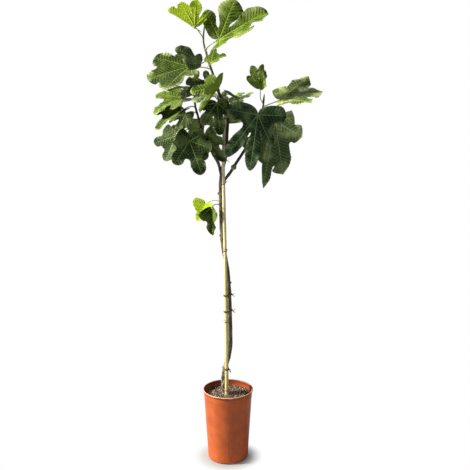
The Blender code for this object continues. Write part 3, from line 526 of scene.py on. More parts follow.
# ---- soil
soil = {
    "fall": 0.0035, "fallRadius": 0.093, "reach": 0.0905, "columns": 240, "seed": 11,
    "waves": ((0.0016, 0.030, 3), (0.0011, 0.009, 4), (0.0004, 0.0042, 5)),  # height, length, seed
    "ground": (0.95, (0.035, 0.027, 0.020), (0.190, 0.155, 0.120), (0.55, 0.48, 0.38)),
    # name: count, sizes, stretch, how far they stand out, then roughness, dark, light and pale
    "lumps": {
        "soilCrumbs": (900, (0.0009, 0.0030), (1.0, 1.0, 0.8), 0.25,
                       0.92, (0.07, 0.055, 0.042), (0.27, 0.22, 0.165), (0.60, 0.52, 0.41)),
        "barkChips": (260, (0.0022, 0.0046), (1.6, 0.8, 0.35), 0.3,
                      0.80, (0.12, 0.075, 0.045), (0.33, 0.235, 0.15), (0.55, 0.42, 0.30)),
        "paleGrit": (120, (0.0010, 0.0022), (1.0, 1.0, 1.0), 0.3,
                     0.88, (0.55, 0.50, 0.44), (0.78, 0.74, 0.67), (0.90, 0.88, 0.82)),
    },
}


def soilInside(height):
    lip = pot["height"] - pot["lipDrop"]
    low, high = pot["footHeight"] + pot["floor"], pot["height"] - pot["lipRound"]
    return np.interp(height, (low, high), (pot["base"] - pot["wall"],
                                           wallRadius(lip) - pot["wall"])) - 0.0012


# Height of the soil: a low dome and three ripples, the clods, the crumbs and the grains.
def soilHeight(x, y):
    place = np.stack([x, y, 0.0 * x], axis=-1)
    share = np.hypot(x, y) / soil["fallRadius"]
    return soilTop - soil["fall"] * share ** 2 + sum(
        height * ripple(place, length, seed) for height, length, seed in soil["waves"])


def makeSoilMaterial(name, roughness, dark, light, pale):
    material, tree, shader = newMaterial(name, roughness, 0.25)
    place = objectPlace(tree)
    clod = patches(tree, place, 90.0, 0.36, 0.66)
    grit = patches(tree, place, 620.0, 0.40, 0.62)
    fleck = patches(tree, place, 380.0, 0.60, 0.68)
    colour = layered(tree, dark, (clod["Mask"], 1.0, light), (grit["Mask"], 0.5, dark),
                     (fleck["Mask"], 0.7, pale))
    dress(tree, shader, colour, stepMask(tree, grit["Raw"], 0.2, 0.8, roughness - 0.12, roughness),
          grit["Raw"], 0.0012, 0.8)
    return material


# Little closed lumps: a six-sided grid from pole to pole with two rings between, stretched,
# turned at random and laid on the soil, their middles at proud x size above it.
def lumps(count, sizes, stretch, proud, seed):
    rng = np.random.default_rng(seed)
    turn = 2.0 * math.pi * np.arange(6) / 6
    tilt = np.radians([-90.0, -35.0, 20.0, 90.0])
    ball = np.stack([np.outer(np.cos(tilt), np.cos(turn)), np.outer(np.cos(tilt), np.sin(turn)),
                     np.outer(np.sin(tilt), np.ones(6))], axis=-1).reshape(-1, 3)
    radius = soil["reach"] * np.sqrt(rng.uniform(0.0, 1.0, count))
    angle = rng.uniform(0.0, 2.0 * math.pi, count)
    x, y = radius * np.cos(angle), radius * np.sin(angle)
    size = rng.uniform(*sizes, count)
    shape = rng.uniform(0.7, 1.3, (count, 3)) * stretch * size[:, None]
    frames, _ = np.linalg.qr(rng.normal(size=(count, 3, 3)))
    frames[:, :, 0] *= np.sign(np.linalg.det(frames))[:, None]
    rough = 1.0 + 0.18 * rng.normal(size=(count, len(ball), 1)).clip(-1.5, 1.5)
    rough[:, :6], rough[:, -6:] = rough[:, :1], rough[:, -1:]
    points = (ball[None] * rough * shape[:, None, :]) @ frames
    points += np.stack([x, y, soilHeight(x, y) + proud * size], axis=1)[:, None, :]
    faces = gridFaces(4, 6, wrapColumns=True)
    faces = faces[None] + (np.arange(count) * len(ball))[:, None, None]
    return points.reshape(-1, 3), faces.reshape(-1, 4), points.reshape(-1, 3)


def makeSoil():
    edge = soilTop - soil["fall"]
    floor = pot["footHeight"] + pot["floor"] + 0.0006
    wall = [(0.0, floor), (soilInside(floor), floor), (soilInside(edge), edge)]
    tops = [(radius, 1.0) for radius in soilInside(edge) * np.linspace(1.0, 0.0, 72)[1:]]
    points, faces, _ = turnedShape(wall + tops, soil["columns"])
    top = points[:, 2] == 1.0
    rise = soilHeight(points[:, 0], points[:, 1])
    points[:, 2] = np.where(top, rise, points[:, 2])
    makePiece("pottingSoil", "potting_soil", (points, faces, points),
              [makeSoilMaterial("pottingMix", *soil["ground"])])
    for number, (name, row) in enumerate(soil["lumps"].items()):
        makePiece(name, "potting_soil", lumps(*row[:4], soil["seed"] + number),
                  [makeSoilMaterial(name, *row[4:])])


makeSoil()
print("soil made")


# ---- cane, trunk and branches
routeRow = 0.028  # row length where only a centre line is wanted
cane = {
    "footDiameter": 0.0152, "topDiameter": 0.0114, "y": -0.010, "depth": 0.100,
    "nodeSwell": 0.0012, "stub": 0.0017, "nodes": (0.020, 0.304, 0.588, 0.848, 1.092),
    "sides": 40, "row": 0.0018,
    "route": ((-0.0045, 0.000), (-0.006, 0.300), (-0.010, 0.588), (-0.015, 0.845),
              (-0.016, 0.945), (-0.013, 1.040), (-0.005, 1.124)),
    "stubs": ((0.304, 160, 0.004), (0.588, -20, 0.004), (0.848, 15, 0.009), (1.092, -170, 0.006)),
}
trunk = {
    "space": 0.0006, "swell": 0.0010, "row": 0.0022, "sides": 44, "depth": 0.100,
    "route": ((-0.015, 0.000), (-0.018, 0.060), (-0.011, 0.108), (0.001, 0.150),
              (0.008, 0.190), (0.009, 0.262), (0.007, 0.345), (0.005, 0.410),
              (-0.002, 0.506), (-0.009, 0.552), (-0.016, 0.590), (-0.021, 0.645),
              (-0.025, 0.765), (-0.025, 0.842), (-0.019, 0.900), (-0.007, 0.953),
              (-0.002, 1.036), (0.000, 1.100), (-0.012, 1.146), (-0.030, 1.180),
              (-0.050, 1.242), (-0.066, 1.290), (-0.077, 1.326), (-0.087, 1.368),
              (-0.086, 1.400), (-0.083, 1.424)),
    "taper": ((0.0, 0.0190), (0.20, 0.0172), (0.80, 0.0158), (0.90, 0.0146),
              (1.00, 0.0128), (1.20, 0.0104), (1.34, 0.0074), (1.424, 0.0050)),
    "spurs": ((0.772, -12, 0.008, 0.0032), (0.803, 172, 0.005, 0.0036), (0.640, 190, 0.004, 0.003),
              (0.452, 20, 0.004, 0.003), (0.236, 185, 0.004, 0.0034)),
}
branches = {
    "left": {"route": ((-0.024, 0.004, 0.872), (-0.034, 0.004, 0.920), (-0.050, 0.002, 0.950),
                       (-0.084, -0.006, 1.017), (-0.097, -0.012, 1.056), (-0.109, -0.016, 1.099),
                       (-0.119, -0.018, 1.140), (-0.120, -0.018, 1.196)),
             "taper": ((0.872, 0.0100), (0.950, 0.0108), (1.060, 0.0092), (1.196, 0.0060))},
    "right": {"route": ((-0.025, 0.006, 0.832), (-0.009, 0.008, 0.862), (0.008, 0.009, 0.884),
                        (0.030, 0.010, 0.919), (0.059, 0.008, 0.964), (0.085, 0.004, 1.010),
                        (0.107, 0.000, 1.055), (0.122, -0.004, 1.095), (0.131, -0.006, 1.130),
                        (0.135, -0.006, 1.166)),
              "taper": ((0.832, 0.0100), (0.900, 0.0112), (1.010, 0.0096), (1.166, 0.0062))},
}


# Cubic Hermite curve through the route's points, in rows of about one length.
def smoothRoute(points, rowLength):
    points = np.asarray(points, float)
    along = runOf(points)
    slopes = np.gradient(points, along, axis=0)
    rows = max(4, int(round(along[-1] / rowLength)))
    at = np.linspace(0.0, along[-1], rows + 1)
    span = np.clip(np.searchsorted(along, at, side="right") - 1, 0, len(along) - 2)
    width = (along[span + 1] - along[span])[:, None]
    s = (at - along[span])[:, None] / width
    start = (1 + 2 * s) * (1 - s) ** 2 * points[span] + s * (1 - s) ** 2 * width * slopes[span]
    end = s ** 2 * (3 - 2 * s) * points[span + 1] + s ** 2 * (s - 1) * width * slopes[span + 1]
    return start + end


def caneRadius(height):
    return 0.5 * np.interp(height, (0.0, cane["route"][-1][1]),
                           (cane["footDiameter"], cane["topDiameter"]))


def taperRadius(taper, height):
    heights, diameters = zip(*taper)
    return 0.5 * np.interp(height, heights, diameters)


# The trunk lies behind the cane, clear of it wherever they cross.
def trunkY(height):
    return (cane["y"] + caneRadius(height) + trunk["swell"] + taperRadius(trunk["taper"], height)
            + trunk["space"])


def stemRows(name, rowLength):
    if name == "trunk":
        centres = smoothRoute([(x, trunkY(z), z) for x, z in trunk["route"]], rowLength)
        centres[:, 1] = trunkY(centres[:, 2])
        return centres, taperRadius(trunk["taper"], centres[:, 2])
    branch = branches[name]
    shift = trunkY(branch["route"][0][2]) - branch["route"][0][1]
    centres = smoothRoute([(x, y + shift, z) for x, y, z in branch["route"]], rowLength)
    return centres, taperRadius(branch["taper"], centres[:, 2])


stemLines = {name: stemRows(name, routeRow) for name in ("trunk", "left", "right")}
caneRoute = smoothRoute([(x, cane["y"], z) for x, z in cane["route"]], routeRow)


def caneX(height):
    return np.interp(height, caneRoute[:, 2], caneRoute[:, 0])


# Where something grows from a stem's side: centre, radius, outward and upward directions.
def stemSeat(name, height, towards):
    centres, radii = stemLines[name]
    centre = np.array([np.interp(height, centres[:, 2], centres[:, i]) for i in range(3)])
    radius = np.interp(height, centres[:, 2], radii)
    row = int(np.clip(np.searchsorted(centres[:, 2], height) - 1, 0, len(centres) - 2))
    upward = unit(centres[row + 1] - centres[row])
    outward = np.asarray(towards, float) - centre
    outward = unit(outward - upward * (outward @ upward))
    return centre, radius, outward, upward


# Taper, plus long shallow ridges, plus a ring and a scar at each node where a leaf once grew.
def barkRadius(base, ringGap, ringSize, ridge, seed):
    def radiusOf(along, turn):
        plain = np.interp(along, base[0], base[1])
        long, fine = (np.stack(np.broadcast_arrays(
            np.cos(turn) * 0.009, np.sin(turn) * 0.009, along * share), axis=-1) for share in (0.16, 0.6))
        node = along / ringGap + 0.18 * np.sin(along * 31.0)
        off = (node + 0.5) % 1.0 - 0.5
        ring = bell(off * ringGap, 0.0022) + 0.8 * bell(off * ringGap, 0.009)
        side = 0.5 + 0.5 * np.cos(turn - 2.4 * np.floor(node + 0.5))
        ridges = ripple(long, 0.0042, seed) + 0.4 * ripple(fine, 0.003, seed + 1)
        return plain * (1.0 + ridge * ridges) + ringSize * ring * (0.35 + side ** 3)
    return radiusOf


# A short broken-off twig standing out of a stem.
def stubShape(centre, radius, angle, length, thickness, lean=0.5):
    out = np.array([math.cos(math.radians(angle)), math.sin(math.radians(angle)), lean])
    s = np.linspace(0.0, 1.0, 8)[:, None]
    line = np.asarray(centre) + unit(out) * (0.55 * radius + (0.45 * radius + length) * s)
    flare = lambda along, turn: thickness * (0.85 + 0.9 * np.exp(-along / (0.3 * length + 0.5 * radius))
                                             + 0.08 * np.sin(3 * turn))
    return tubeShape(line, flare, 12, (0.0, 0.35))


def makeCaneMaterial():
    material, tree, shader = newMaterial("bambooStraw", 0.42, 0.5)
    place = straightPlace(tree)
    height = put(tree, "SeparateXYZ", {0: place}).outputs["Z"]
    node = put(tree, "Attribute", attribute_name="nodeMark").outputs["Fac"]
    streak = patches(tree, place, 260.0, 0.38, 0.64, (1.0, 1.0, 0.035))
    stain = patches(tree, place, 34.0, 0.46, 0.70)
    spot = patches(tree, place, 420.0, 0.64, 0.72, (1.0, 1.0, 0.5))
    colour = layered(
        tree, (0.58, 0.47, 0.19), (streak["Mask"], 1.0, (0.78, 0.70, 0.38)),
        (stain["Mask"], 0.50, (0.42, 0.40, 0.12)),
        # Painted light: higher up, the cane is painted paler, standing in for light that the leaves above
        # shade off it.
        (stepMask(tree, height, 0.62, 1.12), 0.80, (0.84, 0.77, 0.56)),
        (spot["Mask"], 0.6, (0.20, 0.13, 0.06)), (node, 1.0, (0.055, 0.035, 0.018)))
    dress(tree, shader, colour, stepMask(tree, streak["Raw"], 0.2, 0.8, 0.34, 0.52),
          streak["Raw"], 0.0005, 0.6)
    return material


def makeCane():
    heights = np.arange(-cane["depth"], cane["route"][-1][1], cane["row"])
    heights = np.append(heights, cane["route"][-1][1])
    x = caneX(heights)
    line = np.stack([x, np.full(len(x), cane["y"]), heights + soilTop], axis=1)

    # Even taper, a narrow ridge at each node with a pinch below it, and a slight flattening above.
    def radiusOf(along, turn):
        height = along - cane["depth"]
        radius = caneRadius(height) + 0.0 * turn
        for number, node in enumerate(cane["nodes"]):
            off = height - node
            radius = radius + cane["nodeSwell"] * bell(off, 0.0024) - 0.0006 * bell(off + 0.0046, 0.0016)
            groove = np.exp(-((turn - 1.9 - 3.1 * number) % (2 * math.pi) - math.pi) ** 2 / 0.18)
            radius = radius - 0.0007 * groove * np.exp(-np.clip(off, 0.0, 1.0) / 0.10) * (off > 0.0)
        return radius

    body = tubeShape(line, radiusOf, cane["sides"], (0.2, 0.0))
    crown = line[-1]
    rim = caneRadius(heights[-1])
    points, faces, straight = body
    top = np.arange(len(points)) >= len(points) - 4 * cane["sides"]  # the cut end is hollow
    ring = np.hypot(*(points[:, :2] - crown[:2]).T)
    points[:, 2] = np.where(top & (ring < 0.62 * rim), crown[2] - 0.012, points[:, 2])
    stubs = [stubShape((caneX(h), cane["y"], h + soilTop), caneRadius(h), angle, length, cane["stub"])
             for h, angle, length in cane["stubs"]]
    shape = joined([(points, faces, straight)] + stubs)
    height = shape[0][:, 2] - soilTop
    mark = np.zeros(len(height))
    for node in cane["nodes"]:
        mark = np.maximum(mark, np.exp(-((height - node + 0.0020) / 0.0022) ** 4))
        mark = np.maximum(mark, 0.30 * bell(height - node - 0.004, 0.006))
    mark[len(points):] = 0.75
    makePiece("bambooCane", "bamboo_cane", shape, [makeCaneMaterial()],
              values={"nodeMark": mark})


# Old bark low down, young bark above and a green shoot at the top, each streaked dark and light.
def makeBarkMaterial():
    material, tree, shader = newMaterial("figBark", 0.80, 0.3)
    place = straightPlace(tree)
    height = put(tree, "SeparateXYZ", {0: objectPlace(tree)}).outputs["Z"]
    streak = patches(tree, place, 190.0, 0.34, 0.66, (1.0, 1.0, 0.14))
    lichen = patches(tree, place, 85.0, 0.47, 0.62, (1.0, 1.0, 0.6))
    pore = patches(tree, place, 520.0, 0.64, 0.70, (0.45, 0.45, 1.0))
    old, young, shoot = (blend(tree, streak["Mask"], dark, light) for dark, light in (
        ((0.042, 0.033, 0.022), (0.150, 0.125, 0.090)), ((0.028, 0.026, 0.012), (0.085, 0.078, 0.034)),
        ((0.045, 0.060, 0.014), (0.115, 0.140, 0.034))))
    low = timesPlus(tree, stepMask(tree, height, 0.42, 0.33), 0.75, 0.14)
    colour = layered(
        tree, old, (stepMask(tree, height, 1.10, 1.34), 1.0, young),
        (stepMask(tree, height, 1.50, 1.66), 1.0, shoot), (lichen["Mask"], low, (0.60, 0.56, 0.44)),
        (pore["Mask"], 0.6, (0.24, 0.21, 0.15)))
    dress(tree, shader, colour, stepMask(tree, streak["Raw"], 0.2, 0.8, 0.62, 0.86),
          timesPlus(tree, pore["Mask"], 0.5, streak["Raw"]), 0.0011, 0.8)
    return material


def makeStem():
    shapes = []
    for name, seed in (("trunk", 21), ("left", 31), ("right", 41)):
        centres, radii = stemRows(name, trunk["row"])
        if name == "trunk":
            foot = centres[0] + np.linspace(-trunk["depth"], -0.004, 24)[:, None] * (0.0, 0.0, 1.0)
            centres = np.vstack([foot, centres])
            radii = np.concatenate([np.full(24, radii[0]), radii])
        along = runOf(centres)
        if name == "trunk":
            radii = radii * (1.0 + 0.16 * np.exp(-np.clip(along - trunk["depth"], 0, 1) / 0.012))
            for fork in (0.872, 0.845):
                radii = radii * (1.0 + 0.10 * bell(centres[:, 2] - fork, 0.02))
        gap, ring = (0.052, 0.0006) if name == "trunk" else (0.030, 0.00065)
        shapes.append(tubeShape(centres + (0, 0, soilTop),
                                barkRadius((along, radii), gap, ring, 0.030, seed),
                                trunk["sides"], (0.2, 0.6)))
    for height, angle, length, thickness in trunk["spurs"]:
        centre, radius, _, _ = stemSeat("trunk", height, (1, 0, height))
        shapes.append(stubShape(centre + (0, 0, soilTop), radius, angle, length, thickness))
    makePiece("woodyStem", "woody_stem", joined(shapes), [makeBarkMaterial()])


makeCane()
makeStem()
print("cane and stems made")


# ---- buds and figs
buds = {"length": 0.0172, "nodes": {"trunk": "leader_bud", "left": "left_bud", "right": "right_bud"}}
figs = {
    "diameter": 0.021,
    "seats": (("fig_upper", "trunk", 1.172, (0.55, -0.75, 0.35), "green"),
              ("fig_lower", "right", 0.905, (0.10, -0.95, 0.25), "grey")),
}


def makeSkinMaterial(name, dark, light, mark, roughness):
    material, tree, shader = newMaterial(name, roughness, 0.45)
    place = straightPlace(tree)
    flush = patches(tree, place, 110.0, 0.36, 0.64)
    rib = patches(tree, place, 420.0, 0.42, 0.66, (1.0, 1.0, 0.12))
    dot = patches(tree, place, 1400.0, 0.64, 0.70)
    colour = layered(tree, dark, (flush["Mask"], 1.0, light), (rib["Mask"], 0.35, mark),
                     (dot["Mask"], 0.7, mark))
    dress(tree, shader, colour,
          stepMask(tree, flush["Raw"], 0.2, 0.8, roughness - 0.08, roughness + 0.08),
          rib["Raw"], 0.0006, 0.5)
    return material


def makeBuds():
    skin = makeSkinMaterial("budSheath", (0.30, 0.39, 0.07), (0.50, 0.58, 0.16),
                            (0.66, 0.70, 0.32), 0.45)
    for stem, node in buds["nodes"].items():
        centres, radii = stemLines[stem]
        up = unit(centres[-1] - centres[-2])
        foot = centres[-1] - 0.0015 * up + (0, 0, soilTop)
        s = np.linspace(0.0, 1.0, 44)
        # A pointed sheath: full at a quarter of its length, drawn out to a tip, with lapped scales.
        girth = np.interp(s, (0.0, 0.22, 0.55, 0.86, 1.0), (0.80, 1.12, 0.82, 0.34, 0.0))
        girth = girth * (1.0 + 0.10 * ((s * 2.6) % 1.0 < 0.12))
        profile = np.stack([girth * radii[-1], s * buds["length"]], axis=1)
        twist = lambda height, turn: 1.0 + 0.07 * np.cos(2 * turn + 260.0 * height)
        makePiece(pieceName(node), node,
                  turnedShape(np.vstack([(0.0, 0.0), profile]), 28, foot, up, twist), [skin])


def makeFigs():
    r = 0.5 * figs["diameter"]
    skins = {"green": makeSkinMaterial("greenFigSkin", (0.12, 0.18, 0.03), (0.26, 0.33, 0.07),
                                       (0.42, 0.47, 0.18), 0.42),
             "grey": makeSkinMaterial("greyFigSkin", (0.09, 0.14, 0.06), (0.20, 0.26, 0.13),
                                      (0.38, 0.42, 0.28), 0.46)}
    # A pear on a short stalk: the girth grows along a smooth curve and closes over a small eye.
    outline = ((0.24, -0.30), (0.23, 0.0), (0.21, 0.35), (0.34, 0.60), (0.64, 0.95), (0.86, 1.30),
               (0.985, 1.65), (0.985, 2.00), (0.84, 2.30), (0.62, 2.52), (0.34, 2.68), (0.14, 2.74),
               (0.0, 2.70))
    profile = smoothRoute(r * np.array(outline), r * 0.035)
    profile[-1, 0] = 0.0
    ribs = lambda height, turn: 1.0 + 0.014 * np.cos(11 * turn) * softStep(height, 0.4 * r, 1.6 * r)
    for node, stem, height, way, skin in figs["seats"]:
        centre, radius, outward, upward = stemSeat(stem, height, np.add(way, (0, 0, height)))
        way = unit(way)
        outward = unit(way - upward * (way @ upward))
        foot = centre + outward * (radius + 0.20 * r * abs(way @ upward))
        makePiece(pieceName(node), node,
                  turnedShape(np.vstack([(0.0, profile[0, 1]), profile]), 66,
                              foot + (0, 0, soilTop), way, ribs), [skins[skin]])


makeBuds()
makeFigs()
print("buds and figs made")


# ---- ties
ties = {
    "diameter": 0.0026, "slack": 0.0006, "tail": 0.011, "points": 132,
    "places": (("tie_green_low", 0.108, "tape"), ("tie_green_mid", 0.345, "tape"),
               ("tie_green_high", 0.410, "tape"), ("tie_string", 0.934, "string"),
               ("tie_wire", 1.108, "wire")),
    # name, dark, light, scale of the fibres, roughness, stretch along them
    "finishes": {
        "tape": ("greenTape", (0.035, 0.050, 0.008), (0.115, 0.150, 0.022), 700.0, 0.42, 0.3),
        "string": ("brownTwine", (0.10, 0.055, 0.028), (0.30, 0.19, 0.10), 1500.0, 0.85, 0.6),
        "wire": ("whiteWire", (0.52, 0.51, 0.47), (0.82, 0.81, 0.76), 500.0, 0.38, 0.4),
    },
}


# The shortest loop round the cane and the trunk at one height, a little clear of both.
def loopLine(height):
    centres, radii = stemLines["trunk"]
    behind = np.array([np.interp(height, centres[:, 2], centres[:, i]) for i in range(2)])
    front = np.array([caneX(height), cane["y"]])
    clear = 0.5 * ties["diameter"] + ties["slack"]
    reach = (caneRadius(height) + clear, np.interp(height, centres[:, 2], radii) + clear)
    turn = 2.0 * math.pi * np.arange(ties["points"]) / ties["points"]
    out = np.stack([np.cos(turn), np.sin(turn)], axis=1)
    far = (out @ front + reach[0] > out @ behind + reach[1])[:, None]
    flat = np.where(far, front + out * reach[0], behind + out * reach[1])
    for _ in range(3):
        flat = 0.25 * np.roll(flat, 1, axis=0) + 0.5 * flat + 0.25 * np.roll(flat, -1, axis=0)
    return np.column_stack([flat, np.full(len(flat), height + soilTop)])


# A closed band: an oval section, wide across the loop and tall along the stem, carried round the
# line; strands shift the section's centre in a helix of a given number of turns.
def bandShape(line, thick, tall, sides, offset=0.0, twist=0, phase=0.0, tilt=0.0):
    way = np.roll(line, -1, axis=0) - np.roll(line, 1, axis=0)
    way /= np.linalg.norm(way, axis=1)[:, None]
    up = np.array([0.0, 0.0, 1.0])
    out = np.cross(way, up)
    share = np.arange(len(line)) / len(line)
    spin = 2.0 * math.pi * (twist * share) + phase
    centre = line + offset * (np.cos(spin)[:, None] * out + np.sin(spin)[:, None] * up)
    centre = centre + up * (tilt * np.sin(2.0 * math.pi * share + 0.7))[:, None]
    turn = 2.0 * math.pi * np.arange(sides) / sides
    points = (centre[:, None, :] + thick * np.cos(turn)[None, :, None] * out[:, None, :]
              + tall * np.sin(turn)[None, :, None] * up)
    along = share * 0.08
    straight = np.stack(np.broadcast_arrays(thick * np.cos(turn)[None, :], tall * np.sin(turn)[None, :],
                                            along[:, None]), axis=-1)
    return points.reshape(-1, 3), gridFaces(len(line), sides, True, True), straight.reshape(-1, 3)


def makeTieMaterial(name, dark, light, scale, roughness, stretch):
    material, tree, shader = newMaterial(name, roughness, 0.5)
    fibre = patches(tree, straightPlace(tree), scale, 0.36, 0.64, (1.0, 1.0, stretch))
    dress(tree, shader, blend(tree, fibre["Mask"], dark, light),
          stepMask(tree, fibre["Raw"], 0.2, 0.8, roughness - 0.1, roughness + 0.1),
          fibre["Raw"], 0.0005, 0.7)
    return material


def makeTies():
    finishes = {kind: makeTieMaterial(*row) for kind, row in ties["finishes"].items()}
    for node, height, kind in ties["places"]:
        line = loopLine(height)
        middle = line.mean(axis=0)
        knot = line[int(np.argmax(line[:, 0] - 0.4 * line[:, 1]))]
        away = unit(knot - middle)
        reach = ties["tail"]
        if kind == "tape":
            shapes = [bandShape(line, 0.0009, 0.0032, 16, 0.0004, 2, 0.0, 0.0008),
                      bandShape(line, 0.0006, 0.0021, 16, 0.0009, 3, 2.0, -0.0011)]
        elif kind == "string":
            shapes = [bandShape(line, 0.00062, 0.00062, 10, 0.00065, 14, 2.1 * k + 0.5 * turnNo,
                                0.0007 - 0.0013 * turnNo)
                      for turnNo in range(2) for k in range(3)]
        else:
            shapes = [bandShape(line, 0.00055, 0.00055, 12, 0.0007, 1, 2.2 * k, 0.0017 - 0.0017 * k)
                      for k in range(3)]
        for number, fall in enumerate((0.35, -0.75)):
            end = knot + away * reach + np.array([0.0, -0.3 * reach, fall * reach])
            s = np.linspace(0.0, 1.0, 20)[:, None]
            tail = (knot - 0.0006 * away) * (1 - s) + end * s
            tail = tail + np.array([0.0, 0.0, 0.22 * reach]) * s * (1 - s) * (1 if number else -1)
            wide = 0.0017 if kind == "tape" else 0.0008
            flat = 0.45 if kind == "tape" else 0.0
            shapes.append(tubeShape(tail, lambda along, turn: wide * (1.0 + flat * np.cos(2 * turn)),
                                    14, (0.2, 0.1)))
        s = np.linspace(0.0, 2.0 * math.pi, 40, endpoint=False)[:, None]
        side = unit(np.cross(away, (0.0, 0.0, 1.0)))
        upright = np.array([0.0, 0.0, 1.0])
        loop = knot + 0.0008 * away + 0.0013 * (np.cos(s) * side + np.sin(s) * upright)
        shapes.append(bandShape(loop, 0.0013, 0.0013, 12))
        makePiece(pieceName(node), node, joined(shapes), [finishes[kind]])


makeTies()
print("ties made")


# ---- leaves
wholeLobes = ((-104, 0.50, 0.155), (-49, 0.84, 0.165), (0, 1.00, 0.180), (49, 0.84, 0.165),
              (104, 0.50, 0.155))
threeLobes = ((-72, 0.66, 0.20), (0, 1.00, 0.215), (72, 0.66, 0.20))
blade = {  # lengths are shares of the leaf's size, but for the thickness and the plain size
    "palm": 0.40, "neck": 0.84, "peak": 0.5, "point": 0.62, "wide": 1.10, "sinusRun": 0.13,
    "crenation": 0.035, "teethApart": 0.058, "wavesApart": 0.17, "crease": 0.06, "quilt": 0.0060,
    "groove": 0.006, "grooveWidth": 0.012, "wave": 0.021, "waveLength": 0.27, "pastRun": 0.2,
    "openRun": 0.08, "cup": 0.60, "ribReach": 0.86, "thickness": 0.0006, "plainSize": 0.12,
    "fineRows": 44, "lobeRows": 54, "columns": 24,
}
petiole = {"radius": 0.0019, "lean": 35.0, "rows": 36, "sides": 14, "ribSides": 8, "ribRows": 40}

# Colours of each tone of leaf: the blade's darker and lighter greens, its veins, underside and
# the light let through; then the shares of that light, of painted sheen (a painted highlight), of
# pale margin and painted glare, and of the side veins and the net that show. The tones are partly
# the leaves' own colours and partly painted light and shade: lighter tones stand for leaves in
# light, darker ones for leaves in shade.
toneKeys = ("deep", "fresh", "vein", "under", "through", "glow", "sheen", "rim", "side", "net")
tones = {
    "sunlit": ((0.36, 0.52, 0.008), (0.54, 0.72, 0.030), (0.38, 0.48, 0.04), (0.54, 0.72, 0.032),
               (0.55, 0.70, 0.02), 0.36, 0.03, 0.10, 0.35, 0.06),
    "bright": ((0.018, 0.055, 0.002), (0.158, 0.258, 0.004), (0.38, 0.48, 0.06), (0.22, 0.34, 0.03),
               (0.26, 0.40, 0.02), 0.16, 0.18, 0.25, 0.50, 0.08),
    "green": ((0.004, 0.016, 0.001), (0.074, 0.136, 0.003), (0.28, 0.38, 0.05), (0.13, 0.21, 0.03),
              (0.16, 0.28, 0.02), 0.10, 0.16, 0.35, 0.45, 0.06),
    "dark": ((0.002, 0.010, 0.001), (0.044, 0.094, 0.013), (0.18, 0.27, 0.06), (0.09, 0.14, 0.035),
             (0.06, 0.13, 0.02), 0.05, 0.16, 0.15, 0.26, 0.05),
    "blue": ((0.003, 0.016, 0.006), (0.050, 0.110, 0.037), (0.17, 0.27, 0.09), (0.09, 0.15, 0.06),
             (0.06, 0.14, 0.05), 0.04, 0.14, 0.08, 0.22, 0.04),
    "grey": ((0.024, 0.058, 0.016), (0.155, 0.228, 0.078), (0.38, 0.46, 0.20), (0.17, 0.24, 0.10),
             (0.14, 0.22, 0.06), 0.08, 0.28, 0.20, 0.38, 0.20),
    "pale": ((0.008, 0.034, 0.002), (0.250, 0.370, 0.032), (0.56, 0.66, 0.24), (0.32, 0.43, 0.10),
             (0.34, 0.46, 0.06), 0.12, 0.95, 0.60, 0.55, 0.06),
}
tones = {name: dict(zip(toneKeys, row, strict=True)) for name, row in tones.items()}


# A leaf from its row: name, tone, stem, seat's height, where its blade starts, which way it runs
# and faces, size, folds of its two halves, bend of the midrib and droop of the lobes. A leaf may
# have its own lobes (angle, length, half-width), sinus depths and lobe shape.
def leafOf(*row, **own):
    keys = ("name", "tone", "stem", "seat", "base", "along", "facing", "size", "fold", "bend", "droop")
    return {**blade, "lobes": wholeLobes, **dict(zip(keys, row, strict=True)), **own}


